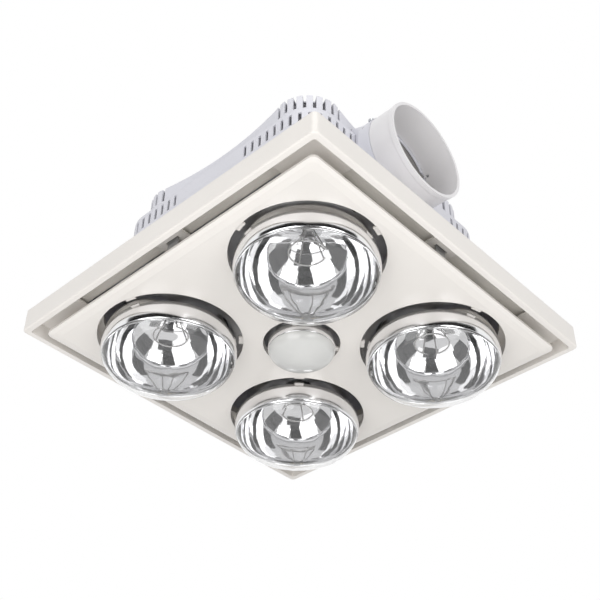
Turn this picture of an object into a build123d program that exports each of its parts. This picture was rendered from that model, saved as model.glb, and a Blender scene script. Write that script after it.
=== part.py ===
from build123d import *
import math
import os

# Ceiling heat lamp: four reflector heat lamps, one centre light and an exhaust fan
# in a recessed housing. Millimetres. The origin is the middle of the unit at the
# ceiling plane, +Z goes up into the roof space and the exhaust duct leaves along -Y.

os.makedirs("parts", exist_ok=True)

# Front frame, the square rim that lies against the ceiling
FRAME_SIDE = 368.0
FRAME_HEIGHT = 23.0
FRAME_CORNER = 5.0
FRAME_WALL = 2.5
RIM_WIDTH = 6.1
RIM_THICK = 2.0
RIM_ROUND = 1.8
INNER_WALL = 2.0
CHANNEL_DEPTH = 15.0
FLOOR_THICK = 2.0
AIR_SLOT_START = 15.5
AIR_SLOT_LENGTH = 108.0
AIR_SLOT_WIDTH = 23.9
RAIL_WIDTH = 4.0
RAIL_THICK = 1.8
RAIL_HEIGHT = 5.0
CLIP_SLOT_INSET = 15.0
CLIP_SLOT_LENGTH = 15.0
CLIP_SLOT_WIDTH = 3.0
FRAME_SCREW_INSET = 8.5
FRAME_BOSS_R = 5.0

# Front panel, the removable tray with the lamp openings
PANEL_GAP = 10.1
PANEL_DROP = 4.5
PANEL_EDGE_DROP = 2.3
PANEL_BEVEL = 10.0
PANEL_BEVEL_CROWN_IN = 3.5
PANEL_BEVEL_CROWN_RISE = 0.9
PANEL_THICK = 2.5
PANEL_CORNER = 6.0
LAMP_GAP = 5.0
HOLE_RIM_HEIGHT = 7.0
HOLE_RIM_THICK = 1.8
LUG_WIDTH = 10.0
LUG_THICK = 2.0
LUG_RECESS = 1.6
LUG_CLEAR = 0.9
CENTRE_GAP = 4.5
CENTRE_LUG_WIDTH = 5.0
RIB_THICK = 2.0
RIB_HEIGHT = 5.0
CLIP_WIDTH = 13.0
CLIP_THICK = 1.0
CLIP_FOOT = 9.0
CLIP_BULGE = 0.9
CLIP_PAD_HEIGHT = 2.8
CLIP_STAKE_R = 1.4
CLIP_STAKE_CLEAR = 0.1
CLIP_SIDE_CLEAR = 0.3
CLIP_TIP_GAP = 1.0
CLIP_BULGE_HALF = 2.0

# Lamps
LAMP_SPACING = 172.4
LAMP_R = 62.5
LAMP_DOME = 30.5
LAMP_LENGTH = 175.0
LAMP_NECK_R = 18.0
LAMP_NECK_LENGTH = 30.0
LAMP_SHOULDER_R = 21.5
LAMP_BOWL_R = 60.0
CENTRE_R = 31.5
CENTRE_DOME = 17.0
CENTRE_LENGTH = 104.0
CENTRE_NECK_R = 15.5
CENTRE_NECK_LENGTH = 10.0
CENTRE_SHOULDER_R = 12.0
CENTRE_BOWL_R = 50.0
GLASS_THICK = 1.2
CAP_R = 13.3
CAP_LENGTH = 26.0
CAP_TIP_R = 5.0
CAP_TIP_LENGTH = 2.5
CAP_SEAT = 0.5
STEM_R = 4.5
WIRE_R = 0.7
FILAMENT_R = 16.0
FILAMENT_DROP = 30.5
STEM_LENGTH = 68.0
STEM_PINCH = 1.5
STEM_FOOT_HEIGHT = 3.0
STEM_FOOT_TAPER = 3.0
STEM_FOOT_FLARE = 1.0

# Lamp holders and their brackets
HOLDER_R = 21.0
HOLDER_WAIST_R = 18.5
HOLDER_LENGTH = 49.0
HOLDER_MOUTH = 2.0
LAMP_HOLDER_DROP = 11.5
CENTRE_HOLDER_DROP = 11.4
CAP_CLEAR = 0.3
BRACKET_WIDTH = 14.0
BRACKET_THICK = 1.2
BRACKET_LEG_AT = 23.0
BRACKET_FOOT = 8.0
CENTRE_BRACKET_WIDTH = 22.0
HOLDER_SCREW_AT = 13.0
HOLDER_SCREW_DEPTH = 9.0
HOLDER_FLARE_LOW = 12.0
HOLDER_FLARE_HIGH = 11.0
HOLDER_TAPER = 3.0

# Housing
FLANGE_GAP = 1.5
FLANGE_WIDTH = 23.0
FLANGE_THICK = 2.0
FLANGE_CORNER = 4.0
CEILING_HOLE_INSET = 12.0
CEILING_HOLE_R = 2.5
WALL = 2.0
PLENUM_HEIGHT = 38.0
PLENUM_CORNER = 15.0
SKIRT_HALF = 129.0
SKIRT_CORNER = 33.5
SEAM_HEIGHT = 89.5
LEDGE_HEIGHT = 107.0
TOWER_HALF = 120.0
TOWER_CORNER = 34.5
TOWER_SAG = 9.0
HOUSING_HEIGHT = 141.0
SLOT_WIDTH = 3.2
SLOT_PITCH = 9.3
LOW_SLOT_HEIGHT = 13.5
HIGH_SLOT_HEIGHT = 17.0
SLOT_TOP_REACH = 5.0
LOW_SLOTS = 17
HIGH_SLOTS = 8
DUCT_SIDE_SLOT_FROM = 75.0
SCREW_BOSS_R = 4.5
FRAME_LUG_R = 6.0
FRAME_LUG_HEIGHT = 16.0
COVER_BOSS_DEPTH = 20.0
COVER_SCREW_INSET = 8.0
COVER_SCREW_SIDE = 62.0
SHIELD_SCREW_INSET = 19.0
SHIELD_BOSS_HEIGHT = 8.0

# Heat shield and thermal cut-out
SHIELD_THICK = 1.2
SHIELD_CLEAR = 0.5
SHIELD_LAMP_HOLE_R = 44.0
SHIELD_CENTRE_HOLE_R = 42.0
CUTOUT_AT = 60.0
CUTOUT_R = 8.0
CUTOUT_HEIGHT = 9.0
CUTOUT_FLANGE = 2.0
CUTOUT_TAB_AT = 3.2
CUTOUT_TAB_LENGTH = 6.0
CUTOUT_TAB_WIDTH = 6.0
CUTOUT_TAB_THICK = 0.8

# Exhaust fan
FAN_X = 8.0
WHEEL_R = 44.0
WHEEL_EYE_R = 36.0
WHEEL_BLADES = 30
WHEEL_HEIGHT = 36.5
BLADE_THICK = 0.9
BLADE_SWEEP = 13.0
BLADE_BOW = 1.7
SHROUD_THICK = 1.4
SHROUD_LAP = 2.0
DISH_R = 31.5
DISH_DEPTH = 27.0
DISH_THICK = 1.5
HUB_R = 7.0
HUB_LENGTH = 6.0
SHAFT_R = 3.0
SHAFT_FIT = 0.05
HUB_FIT = 0.02
NUT_R = 5.5
NUT_HEIGHT = 4.0
BUSH_R = 6.5
BUSH_LENGTH = 9.0
MOTOR_R = 27.5
MOTOR_HEIGHT = 25.0
MOTOR_SCREW_INSET = 8.0
MOTOR_SCREW_DEPTH = 8.0
MOTOR_EDGE_IN = 6.0
MOTOR_EDGE_RISE = 4.0
MOTOR_END_WALL = 3.0
MOTOR_SHAFT_CLEAR = 0.4
SCROLL_START = 47.5
SCROLL_STEP = 4.2
SCROLL_WALL = 1.5
SCROLL_HEIGHT = 43.8
SCROLL_TOP_GAP = 3.0
SCROLL_END = 92.0
SCROLL_FLOOR_GAP = 3.5
MOTOR_PLATE_THICK = 1.2
THROAT_WIDTH = 55.0
INLET_R = 37.5
INLET_LIP = 2.0
CENTRE_LEG_GAP = 1.5
FAN_SCREW_AT = 40.5
FAN_SCREW_ANGLES = (50, 165, 290)
MOTOR_SCREW_ANGLES = (20, 140, 260)

# Outlet duct, collar and backdraught flap
DUCT_X = -24.5
DUCT_Z = 89.3
COLLAR_R = 48.6
COLLAR_WALL = 2.5
COLLAR_END = 174.6
COLLAR_BEAD = 0.5
COLLAR_BEAD_LENGTH = 4.5
SPIGOT_LENGTH = 6.6
SPIGOT_WALL = 1.2
SPIGOT_FIT = 0.2
NECK_WALL = 1.6
NECK_END = 148.0
NECK_STEP = 0.5
NECK_ROUND_FROM = 135.0
NECK_SQUARE_TO = 108.0
NECK_SQUARE_FROM = 84.0
SOCKET_CLEAR = 0.3
NECK_HOLE_CLEAR = 0.4
COLLAR_SCREW_FROM_END = 3.2
COLLAR_SCREW_R = 1.4
COLLAR_SCREW_HEAD_R = 2.8
COLLAR_SCREW_PAST = 0.6
COLLAR_SCREW_ANGLES = (24.0, 145.0, 232.0)
FLAP_CLEAR = 1.2
FLAP_THICK = 1.2
FLAP_Y = 139.0
FLAP_PIN_RISE = 18.5
FLAP_PIN_R = 1.5
FLAP_PIN_INSET = 0.6
FLAP_BARREL_R = 2.6
FLAP_BARREL_INSET = 0.4
FLAP_STOP_CLEAR = 1.5
FLAP_STOP = 2.4
FLAP_STOP_THICK = 1.2
FLAP_SEAT_GAP = 0.3

# Terminal box
BOX_LENGTH = 72.0
BOX_WIDTH = 24.0
BOX_HEIGHT = 26.0
BOX_GAP = 2.0
BOX_LID_THICK = 2.0
BLOCK_LENGTH = 46.0
BLOCK_WIDTH = 14.0
BLOCK_HEIGHT = 13.0
BLOCK_POLES = 4
BLOCK_BASE_HEIGHT = 8.0
BLOCK_GROOVE = 1.8
BLOCK_WALL_GAP = 0.5
BLOCK_SCREW_R = 1.7
BLOCK_SCREW_AT = 3.5
BLOCK_SCREW_DEPTH = 6.5
GLAND_R = 8.0
GLAND_BORE_R = 4.2
GLAND_REACH = 4.0
GLAND_RISE = 14.0
GLAND_X = 20.0
GLAND_WALL = 1.6
GLAND_HOLE_CLEAR = 0.2
GLAND_NUT_R = 7.0
GLAND_NUT_LENGTH = 3.0
GLAND_TAIL = 4.0
LID_SCREW_LENGTH = 12.0
LID_HOLE_DEPTH = 14.0
LID_CORNER = 2.0
WIRE_HOLE_R = 5.0
WIRE_HOLE_RISE = 12.0

# Screws
SCREW_R = 1.9
SCREW_HEAD_R = 3.8
SCREW_HEAD_HEIGHT = 2.3
SCREW_CLEAR = 0.3
PILOT_CLEAR = 0.05
SCREW_PAST = 1.0
FRAME_SCREW_LENGTH = 18.0
SHIELD_SCREW_LENGTH = 9.0
BRACKET_SCREW_LENGTH = 5.0
CENTRE_SCREW_LENGTH = 4.0

# Places that follow from the sizes above
FRAME_HALF = FRAME_SIDE / 2
RIM_Z = -FRAME_HEIGHT
FLOOR_Z = RIM_Z + CHANNEL_DEPTH
CHANNEL_HALF = FRAME_HALF - RIM_WIDTH
AIR_SLOT_INNER = CHANNEL_HALF - AIR_SLOT_WIDTH
RAIL_HALF = AIR_SLOT_INNER - RAIL_WIDTH
LAMP_XY = LAMP_SPACING / 2
PANEL_HALF = CHANNEL_HALF - PANEL_GAP
PANEL_FACE_Z = RIM_Z - PANEL_DROP
CLIP_SLOT_AT = CHANNEL_HALF - CLIP_SLOT_INSET
FLANGE_HALF = FRAME_HALF - FRAME_WALL - FLANGE_GAP
CEILING_HOLE_AT = FLANGE_HALF - CEILING_HOLE_INSET
PLENUM_HALF = FLANGE_HALF - FLANGE_WIDTH
FRAME_SCREW_AT = PLENUM_HALF - FRAME_SCREW_INSET
SHIELD_SCREW_AT = PLENUM_HALF - SHIELD_SCREW_INSET
PANEL_BACK_Z = PANEL_FACE_Z + PANEL_THICK
BEVEL_RISE = PANEL_DROP - PANEL_EDGE_DROP
HOLE_R = LAMP_R + LAMP_GAP
CENTRE_HOLE_R = CENTRE_R + CENTRE_GAP
TOP_INNER_Z = HOUSING_HEIGHT - WALL
SCROLL_TOP_Z = TOP_INNER_Z - SCROLL_TOP_GAP
SCROLL_Z = SCROLL_TOP_Z - MOTOR_PLATE_THICK - SCROLL_HEIGHT
WHEEL_Z = SCROLL_Z + SCROLL_WALL + SCROLL_FLOOR_GAP
SCROLL_OUT = SCROLL_START + 3 * SCROLL_STEP
COLLAR_BORE_R = COLLAR_R - COLLAR_WALL
SPIGOT_R = COLLAR_BORE_R + SPIGOT_WALL
NECK_SOCKET_R = SPIGOT_R + SPIGOT_FIT
NECK_R = NECK_SOCKET_R + NECK_WALL
NECK_BORE_R = COLLAR_BORE_R - NECK_STEP
NECK_SHOULDER = NECK_END - SPIGOT_LENGTH
FLAP_R = NECK_BORE_R - FLAP_CLEAR
FLAP_PIN_HALF = math.sqrt(NECK_R ** 2 - FLAP_PIN_RISE ** 2) - FLAP_PIN_INSET
FLAP_BARREL_HALF = math.sqrt(NECK_BORE_R ** 2 - FLAP_PIN_RISE ** 2) - FLAP_CLEAR - FLAP_BARREL_INSET
FLAP_PIN_Z = DUCT_Z + FLAP_PIN_RISE
CLIP_IN = CLIP_SLOT_AT - CLIP_SLOT_WIDTH / 2 + CLIP_SIDE_CLEAR
LAMP_HOLDER_TOP = TOP_INNER_Z - LAMP_HOLDER_DROP
LAMP_TOP_Z = LAMP_HOLDER_TOP - HOLDER_LENGTH - HOLDER_MOUTH + CAP_LENGTH
LAMP_RIM_DROP = LAMP_LENGTH - LAMP_DOME - LAMP_TOP_Z
CENTRE_HOLDER_TOP = SCROLL_Z - CENTRE_HOLDER_DROP
CENTRE_TOP_Z = CENTRE_HOLDER_TOP - HOLDER_LENGTH - HOLDER_MOUTH + CAP_LENGTH
CENTRE_RIM_DROP = CENTRE_LENGTH - CENTRE_DOME - CENTRE_TOP_Z
CENTRE_LEG_AT = INLET_R + CENTRE_LEG_GAP
SPOUT_LEFT = FAN_X - SCROLL_OUT - SCROLL_WALL
SPOUT_RIGHT = FAN_X - SCROLL_OUT + THROAT_WIDTH + SCROLL_WALL
WHEEL_TOP = WHEEL_Z + WHEEL_HEIGHT
DISH_Z = WHEEL_TOP - DISH_DEPTH
HUB_Z = DISH_Z - HUB_LENGTH
CORNERS = [(1, 1), (-1, 1), (-1, -1), (1, -1)]
SIDE_TURNS = [0, 90, 180, 270]


def save(node, part):
    """Write one sub-part to its own file."""
    export_step(part, f"parts/{node}.step")


def disc(radius, z_low, z_high, x=0.0, y=0.0):
    """Upright cylinder between two heights."""
    height = z_high - z_low
    return Pos(x, y, z_low + height / 2) * Cylinder(radius, height)


def brick(x_low, x_high, y_low, y_high, z_low, z_high):
    """Box between two corners."""
    middle = ((x_low + x_high) / 2, (y_low + y_high) / 2, (z_low + z_high) / 2)
    return Pos(*middle) * Box(x_high - x_low, y_high - y_low, z_high - z_low)


def slab(half, corner, z_low, z_high):
    """Square plate with rounded corners between two heights."""
    outline = Plane.XY.offset(z_low) * RectangleRounded(2 * half, 2 * half, corner)
    return extrude(outline, amount=z_high - z_low)


def turned(points, x=0.0, y=0.0):
    """Solid of revolution about an upright axis from straight runs of (radius, height)."""
    with BuildSketch(Plane.XZ) as section:
        with BuildLine():
            Polyline(*points, close=True)
        make_face()
    return Pos(x, y, 0) * revolve(section.sketch, Axis.Z)


def y_tube(radius, y_near, y_far, x=DUCT_X, z=DUCT_Z):
    """Cylinder along -Y from y = -y_near to y = -y_far."""
    outline = Plane.XZ.offset(y_near) * Pos(x, z) * Circle(radius)
    return extrude(outline, amount=y_far - y_near)


def screw(length, head_r=SCREW_HEAD_R, shank_r=SCREW_R):
    """Pan-head screw with its head above the origin and its shank going down."""
    crown = 0.45 * SCREW_HEAD_HEIGHT
    points = [(0, -length), (0.6 * shank_r, -length), (shank_r, -length + shank_r), (shank_r, 0),
              (head_r, 0), (head_r, crown), (0.6 * head_r, SCREW_HEAD_HEIGHT), (0, SCREW_HEAD_HEIGHT)]
    return turned(points)


def screw_up(length):
    """The same screw driven upward, its head below the origin."""
    return Rot(180, 0, 0) * screw(length)


def joined(shapes):
    """Group of separate solids in one node."""
    return Compound(children=list(shapes))


def front_frame():
    body = slab(FRAME_HALF, FRAME_CORNER, RIM_Z, 0)
    body = fillet(body.faces().sort_by(Axis.Z)[0].edges(), RIM_ROUND)
    body -= slab(CHANNEL_HALF, FRAME_CORNER - 2, RIM_Z, 0)
    trench_out = FRAME_HALF - FRAME_WALL
    trench_in = CHANNEL_HALF + INNER_WALL
    trench = slab(trench_out, FRAME_CORNER - 2, RIM_Z + RIM_THICK, 0)
    body -= trench - slab(trench_in, FRAME_CORNER - 2, RIM_Z, 0)
    floor_top = FLOOR_Z + FLOOR_THICK
    body -= slab(trench_in, FRAME_CORNER - 2, floor_top, 0)
    floor = slab(trench_in, FRAME_CORNER - 2, FLOOR_Z, floor_top)
    rail = slab(RAIL_HALF + RAIL_THICK, RAIL_HALF + RAIL_THICK - LAMP_XY, floor_top, floor_top + RAIL_HEIGHT)
    opening = slab(RAIL_HALF, RAIL_HALF - LAMP_XY, FLOOR_Z, floor_top + RAIL_HEIGHT)
    body += floor + rail - opening
    slot_end = AIR_SLOT_START + AIR_SLOT_LENGTH
    clip_out = CLIP_SLOT_AT + CLIP_SLOT_WIDTH / 2
    cuts = []
    for turn in SIDE_TURNS:
        for low, high in ((AIR_SLOT_START, slot_end), (-slot_end, -AIR_SLOT_START)):
            cuts.append(Rot(0, 0, turn) * brick(AIR_SLOT_INNER, CHANNEL_HALF, low, high, FLOOR_Z, floor_top))
        half = CLIP_SLOT_LENGTH / 2
        slot = brick(clip_out - CLIP_SLOT_WIDTH, clip_out, -half, half, FLOOR_Z, floor_top)
        cuts.append(Rot(0, 0, turn) * slot)
    body -= cuts
    for sx, sy in CORNERS:
        x, y = sx * FRAME_SCREW_AT, sy * FRAME_SCREW_AT
        body += disc(FRAME_BOSS_R, floor_top, -FLANGE_THICK, x, y)
        body -= disc(SCREW_R + SCREW_CLEAR, FLOOR_Z, -FLANGE_THICK, x, y)
    return body


def panel_shell(grow, z_low):
    """Tray form: rounded square face with a curved bevel rising to its edge."""
    edge_z = z_low + BEVEL_RISE
    bevel = PANEL_BEVEL
    half = PANEL_HALF + grow
    face = Plane.XY.offset(z_low) * RectangleRounded(2 * (half - bevel), 2 * (half - bevel), PANEL_CORNER)
    middle_half = half - PANEL_BEVEL_CROWN_IN
    middle_z = z_low + PANEL_BEVEL_CROWN_RISE
    middle = Plane.XY.offset(middle_z) * RectangleRounded(2 * middle_half, 2 * middle_half, PANEL_CORNER)
    edge = Plane.XY.offset(edge_z) * RectangleRounded(2 * half, 2 * half, PANEL_CORNER)
    lower = loft([face, middle], ruled=True)
    upper = loft([middle, edge], ruled=True)
    return lower + upper


def lug_ring(x, y, hole_r, lamp_r, width, first_angle):
    """Three tabs that reach from the rim of an opening toward its lamp."""
    tabs = []
    half = width / 2
    z_low = PANEL_FACE_Z + LUG_RECESS
    reach_in = lamp_r + LUG_CLEAR
    reach_out = hole_r + HOLE_RIM_THICK / 2
    bore = disc(reach_in, z_low, z_low + LUG_THICK, x, y)
    for step in range(3):
        turn = Pos(x, y, 0) * Rot(0, 0, first_angle + 120 * step)
        tab = turn * brick(reach_in - 2, reach_out, -half, half, z_low, z_low + LUG_THICK)
        tabs.append(tab - bore)
    return tabs


def front_panel():
    solid = panel_shell(0, PANEL_FACE_Z)
    lip_top = PANEL_FACE_Z + BEVEL_RISE + PANEL_THICK
    edge_top = slab(PANEL_HALF, PANEL_CORNER, PANEL_FACE_Z + BEVEL_RISE, lip_top)
    inner = panel_shell(-PANEL_THICK, PANEL_BACK_Z)
    inner += slab(PANEL_HALF - PANEL_THICK, PANEL_CORNER, PANEL_BACK_Z + BEVEL_RISE, lip_top + 1)
    body = solid + edge_top - inner
    rim_top = PANEL_FACE_Z + HOLE_RIM_HEIGHT
    openings = [(sx * LAMP_XY, sy * LAMP_XY, HOLE_R, LAMP_R, LUG_WIDTH) for sx, sy in CORNERS]
    openings.append((0, 0, CENTRE_HOLE_R, CENTRE_R, CENTRE_LUG_WIDTH))
    rib_top = PANEL_BACK_Z + RIB_HEIGHT
    rib_out = CLIP_IN - CLIP_FOOT
    for turn in SIDE_TURNS:
        rib = brick(CENTRE_HOLE_R, rib_out, -RIB_THICK / 2, RIB_THICK / 2, PANEL_BACK_Z, rib_top)
        body += Rot(0, 0, turn) * rib
        body += Rot(0, 0, turn) * clip_pad()
    for x, y, hole_r, lamp_r, width in openings:
        body += disc(hole_r + HOLE_RIM_THICK, PANEL_BACK_Z, rim_top, x, y)
    for x, y, hole_r, lamp_r, width in openings:
        body -= disc(hole_r, PANEL_FACE_Z - 1, rim_top + 1, x, y)
    for x, y, hole_r, lamp_r, width in openings:
        toward_middle = math.degrees(math.atan2(-y, -x)) if x or y else 90
        for tab in lug_ring(x, y, hole_r, lamp_r, width, toward_middle):
            body += tab
    return body


def clip_pad():
    """Pad on the back of the panel with a stake that holds one spring clip."""
    half = CLIP_WIDTH / 2
    top = PANEL_BACK_Z + CLIP_PAD_HEIGHT
    pad = brick(CLIP_IN - CLIP_FOOT, CLIP_IN, -half, half, PANEL_BACK_Z, top)
    stake_x = CLIP_IN - CLIP_FOOT / 2
    return pad + disc(CLIP_STAKE_R, top, top + 2 * CLIP_THICK, stake_x)


def panel_clip():
    """Spring-steel tongue: a foot on its pad, a stem up through the frame's slot and a bulge."""
    foot_z = PANEL_BACK_Z + CLIP_PAD_HEIGHT
    tip_z = -FLANGE_THICK - CLIP_TIP_GAP
    bulge_z = FLOOR_Z + FLOOR_THICK / 2
    low_z = bulge_z - CLIP_BULGE_HALF
    high_z = bulge_z + CLIP_BULGE_HALF
    x_in = CLIP_IN
    x_out = CLIP_IN + CLIP_THICK
    with BuildSketch(Plane.XZ) as section:
        with BuildLine():
            Polyline((x_in - CLIP_FOOT, foot_z), (x_out, foot_z), (x_out, low_z),
                     (x_out + CLIP_BULGE, bulge_z), (x_out, high_z), (x_out, tip_z),
                     (x_in, tip_z), (x_in, high_z), (x_in + CLIP_BULGE, bulge_z), (x_in, low_z),
                     (x_in, foot_z + CLIP_THICK), (x_in - CLIP_FOOT, foot_z + CLIP_THICK), close=True)
        make_face()
    strip = extrude(section.sketch, amount=CLIP_WIDTH / 2, both=True)
    return strip - disc(CLIP_STAKE_R + CLIP_STAKE_CLEAR, foot_z, foot_z + CLIP_THICK, x_in - CLIP_FOOT / 2)


def bulb_solid(radius, shoulder_r, bowl_r, rim_z, dome, neck_r, neck_length, top_z, inset):
    """Reflector bulb: two tangent arcs below the rim, two above it and a straight neck."""
    r = radius - inset
    shoulder = shoulder_r - inset
    depth = dome - inset
    apex = rim_z - depth
    front = ((r - shoulder) ** 2 + depth ** 2 - shoulder ** 2) / (2 * (depth - shoulder))
    lean = math.atan2(r - shoulder, front - depth)
    turn_point = (front * math.sin(lean), apex + front * (1 - math.cos(lean)))
    neck = neck_r - inset
    glass_top = top_z - CAP_LENGTH - inset
    neck_low = top_z - CAP_LENGTH - neck_length
    across = r - neck
    rise = neck_low - rim_z
    both = (across ** 2 + rise ** 2) / (2 * across)
    share = (bowl_r - inset) / both
    bend_point = (r - share * across, rim_z + share * rise)
    throat_r = CAP_R - CAP_SEAT - inset
    with BuildSketch(Plane.XZ) as section:
        with BuildLine():
            TangentArc((r, rim_z), turn_point, tangent=(0, -1))
            TangentArc(turn_point, (0, apex), tangent=(-math.cos(lean), -math.sin(lean)))
            TangentArc((r, rim_z), bend_point, tangent=(0, 1))
            TangentArc(bend_point, (neck, neck_low), tangent=(-rise, both - across))
            Polyline((neck, neck_low), (neck, glass_top - neck_length / 2), (throat_r, glass_top),
                     (0, glass_top), (0, apex))
        make_face()
    return revolve(section.sketch, Axis.Z)


def bulb(radius, shoulder_r, bowl_r, rim_z, dome, neck_r, neck_length, top_z):
    """Thin glass envelope of a reflector lamp."""
    sizes = (radius, shoulder_r, bowl_r, rim_z, dome, neck_r, neck_length, top_z)
    return bulb_solid(*sizes, 0) - bulb_solid(*sizes, GLASS_THICK)


def lamp_cap(top_z):
    """Screw cap with its insulator and centre contact."""
    low = top_z - CAP_LENGTH
    shoulder = top_z - CAP_TIP_LENGTH
    points = [(0, low), (CAP_R, low), (CAP_R, shoulder - 3), (2 * CAP_TIP_R - 1, shoulder),
              (CAP_TIP_R, shoulder), (CAP_TIP_R, top_z - 0.8), (CAP_TIP_R - 1.5, top_z), (0, top_z)]
    return turned(points)


def lamp_filament(top_z, ring_r):
    """Glass stem with its lead wires and the filament ring that they hold."""
    stem_top = top_z - CAP_LENGTH - GLASS_THICK
    stem_low = stem_top - STEM_LENGTH
    ring_z = stem_low - FILAMENT_DROP
    foot_r = STEM_R + STEM_FOOT_FLARE
    foot_top = stem_low + STEM_FOOT_HEIGHT
    stem = turned([(0, stem_low), (foot_r, stem_low), (foot_r, foot_top),
                   (STEM_R - STEM_PINCH, foot_top + STEM_FOOT_TAPER), (STEM_R, stem_top), (0, stem_top)])
    ring = Plane.XY.offset(ring_z) * CenterArc((0, 0), ring_r, 20, 320)
    wire = sweep(Plane(ring @ 0, z_dir=ring % 0) * Circle(WIRE_R), path=ring)
    body = stem + wire
    for angle in (25, 115, 245, 335):
        turn = math.radians(angle)
        start = Vector(3 * math.cos(turn), 3 * math.sin(turn), stem_low + 1)
        end = Vector(ring_r * math.cos(turn), ring_r * math.sin(turn), ring_z)
        run = Line(start, end)
        body += sweep(Plane(start, z_dir=end - start) * Circle(WIRE_R), path=run)
    return body


def lamp_holder(top_z):
    """Ceramic screw holder that hangs from its bracket, open at the bottom for the cap."""
    low = top_z - CAP_LENGTH + HOLDER_MOUTH
    high = low + HOLDER_LENGTH
    bore = CAP_R + CAP_CLEAR
    seat = top_z + CAP_CLEAR
    waist_low = low + HOLDER_FLARE_LOW
    waist_high = high - HOLDER_FLARE_HIGH
    points = [(bore, low), (HOLDER_R - 1, low), (HOLDER_R, low + 1), (HOLDER_R, waist_low),
              (HOLDER_WAIST_R, waist_low + HOLDER_TAPER), (HOLDER_WAIST_R, waist_high - HOLDER_TAPER),
              (HOLDER_R, waist_high),
              (HOLDER_R, high), (0, high), (0, seat), (bore, seat)]
    return turned(points)


def hat_bracket(width, leg_at, low_z, high_z, foot):
    """Strip bent into a hat: a low seat, two legs and two out-turned feet at the top."""
    t = BRACKET_THICK
    half = leg_at + t
    with BuildSketch(Plane.XZ) as section:
        with BuildLine():
            Polyline((-half, low_z), (half, low_z), (half, high_z - t), (half + foot, high_z - t),
                     (half + foot, high_z), (half - t, high_z), (half - t, low_z + t),
                     (-half + t, low_z + t), (-half + t, high_z), (-half - foot, high_z),
                     (-half - foot, high_z - t), (-half, high_z - t), close=True)
        make_face()
    strip = extrude(section.sketch, amount=width / 2, both=True)
    for side in (-1, 1):
        strip -= disc(SCREW_R + PILOT_CLEAR, high_z - t, high_z, side * (half + foot / 2))
        strip -= disc(SCREW_R + PILOT_CLEAR, low_z, low_z + t, side * HOLDER_SCREW_AT)
    return strip


def with_screw_holes(holder, top_z):
    """Blind holes in the top of a holder for the two screws of its bracket."""
    for side in (-1, 1):
        holder -= disc(SCREW_R + PILOT_CLEAR, top_z - HOLDER_SCREW_DEPTH - 1, top_z, side * HOLDER_SCREW_AT)
    return holder


def lamp_place(sx, sy):
    """Frame of one heat lamp, its local X along the tangent of its corner."""
    outward = math.degrees(math.atan2(sy, sx))
    return Pos(sx * LAMP_XY, sy * LAMP_XY, 0) * Rot(0, 0, outward + 90)


def waisted(half, corner, sag, z_low, z_high):
    """Square tower plan with round corners and hollow sides."""
    c = half - corner
    diagonal = c + corner * math.sqrt(0.5)
    with BuildSketch(Plane.XY.offset(z_low)) as plan:
        with BuildLine():
            for turn in SIDE_TURNS:
                side = [Vector(x, y).rotate(Axis.Z, turn) for x, y in
                        ((half, -c), (half - sag, 0), (half, c), (diagonal, diagonal), (c, half))]
                ThreePointArc(*side[:3])
                ThreePointArc(*side[2:])
        make_face()
    return extrude(plan.sketch, amount=z_high - z_low)


def corner_slots(half, corner, count, z_low, z_high, reach):
    """Upright slots spaced evenly round one corner, from one side to the next."""
    c = half - corner
    quarter = corner * math.pi / 4
    cuts = []
    for i in range(count):
        along = (i - (count - 1) / 2) * SLOT_PITCH
        run = abs(along) - quarter
        if run > 0:
            side = 1 if along > 0 else -1
            place = Pos(c - run, half, 0) * Rot(0, 0, 90) if side > 0 else Pos(half, c - run, 0)
        else:
            angle = 45 + math.degrees(along / corner)
            turn = math.radians(angle)
            place = Pos(c + corner * math.cos(turn), c + corner * math.sin(turn), 0) * Rot(0, 0, angle)
        w = SLOT_WIDTH / 2
        cuts.append(place * brick(-reach, 3, -w, w, z_low, z_high))
    return cuts


def four_sided(y_at, corners, crowns=None):
    """Upright outline of four sides, straight, or bowed through their crowns."""
    with BuildSketch(Plane.XZ.offset(y_at)) as end:
        with BuildLine():
            for i in range(4):
                if crowns:
                    ThreePointArc(corners[i], crowns[i], corners[(i + 1) % 4])
                else:
                    Line(corners[i], corners[(i + 1) % 4])
        make_face()
    return end.sketch


def square_end(y_at, grow):
    """Outline round the spout of the fan."""
    left = SPOUT_LEFT - grow
    right = SPOUT_RIGHT + grow
    low = SCROLL_Z - grow
    high = SCROLL_TOP_Z + grow
    return four_sided(y_at, [(right, high), (left, high), (left, low), (right, low)])


def round_end(y_at, radius):
    """Circle round the duct axis in four arcs that match the sides of the square end."""
    k = radius * math.sqrt(0.5)
    x, z = DUCT_X, DUCT_Z
    corners = [(x + k, z + k), (x - k, z + k), (x - k, z - k), (x + k, z - k)]
    crowns = [(x, z + radius), (x - radius, z), (x, z - radius), (x + radius, z)]
    return four_sided(y_at, corners, crowns)


def outlet_form(grow, radius, y_to):
    """Closed form of the outlet: square socket, square-to-round transition and round neck."""
    tube = extrude(square_end(NECK_SQUARE_FROM, grow), amount=NECK_SQUARE_TO - NECK_SQUARE_FROM)
    change = loft([square_end(NECK_SQUARE_TO, grow), round_end(NECK_ROUND_FROM, radius)], ruled=True)
    return tube + change + y_tube(radius, NECK_ROUND_FROM, y_to)


def flap_stop(y_near, z_low, z_high):
    """Part of a rib round the bore of the neck that the closed flap rests on."""
    rib = y_tube(NECK_BORE_R + NECK_STEP, y_near, y_near + FLAP_STOP_THICK)
    rib -= y_tube(NECK_BORE_R - FLAP_STOP, y_near, y_near + FLAP_STOP_THICK)
    return rib & brick(DUCT_X - NECK_R, DUCT_X + NECK_R, -COLLAR_END, 0, z_low, z_high)


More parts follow.
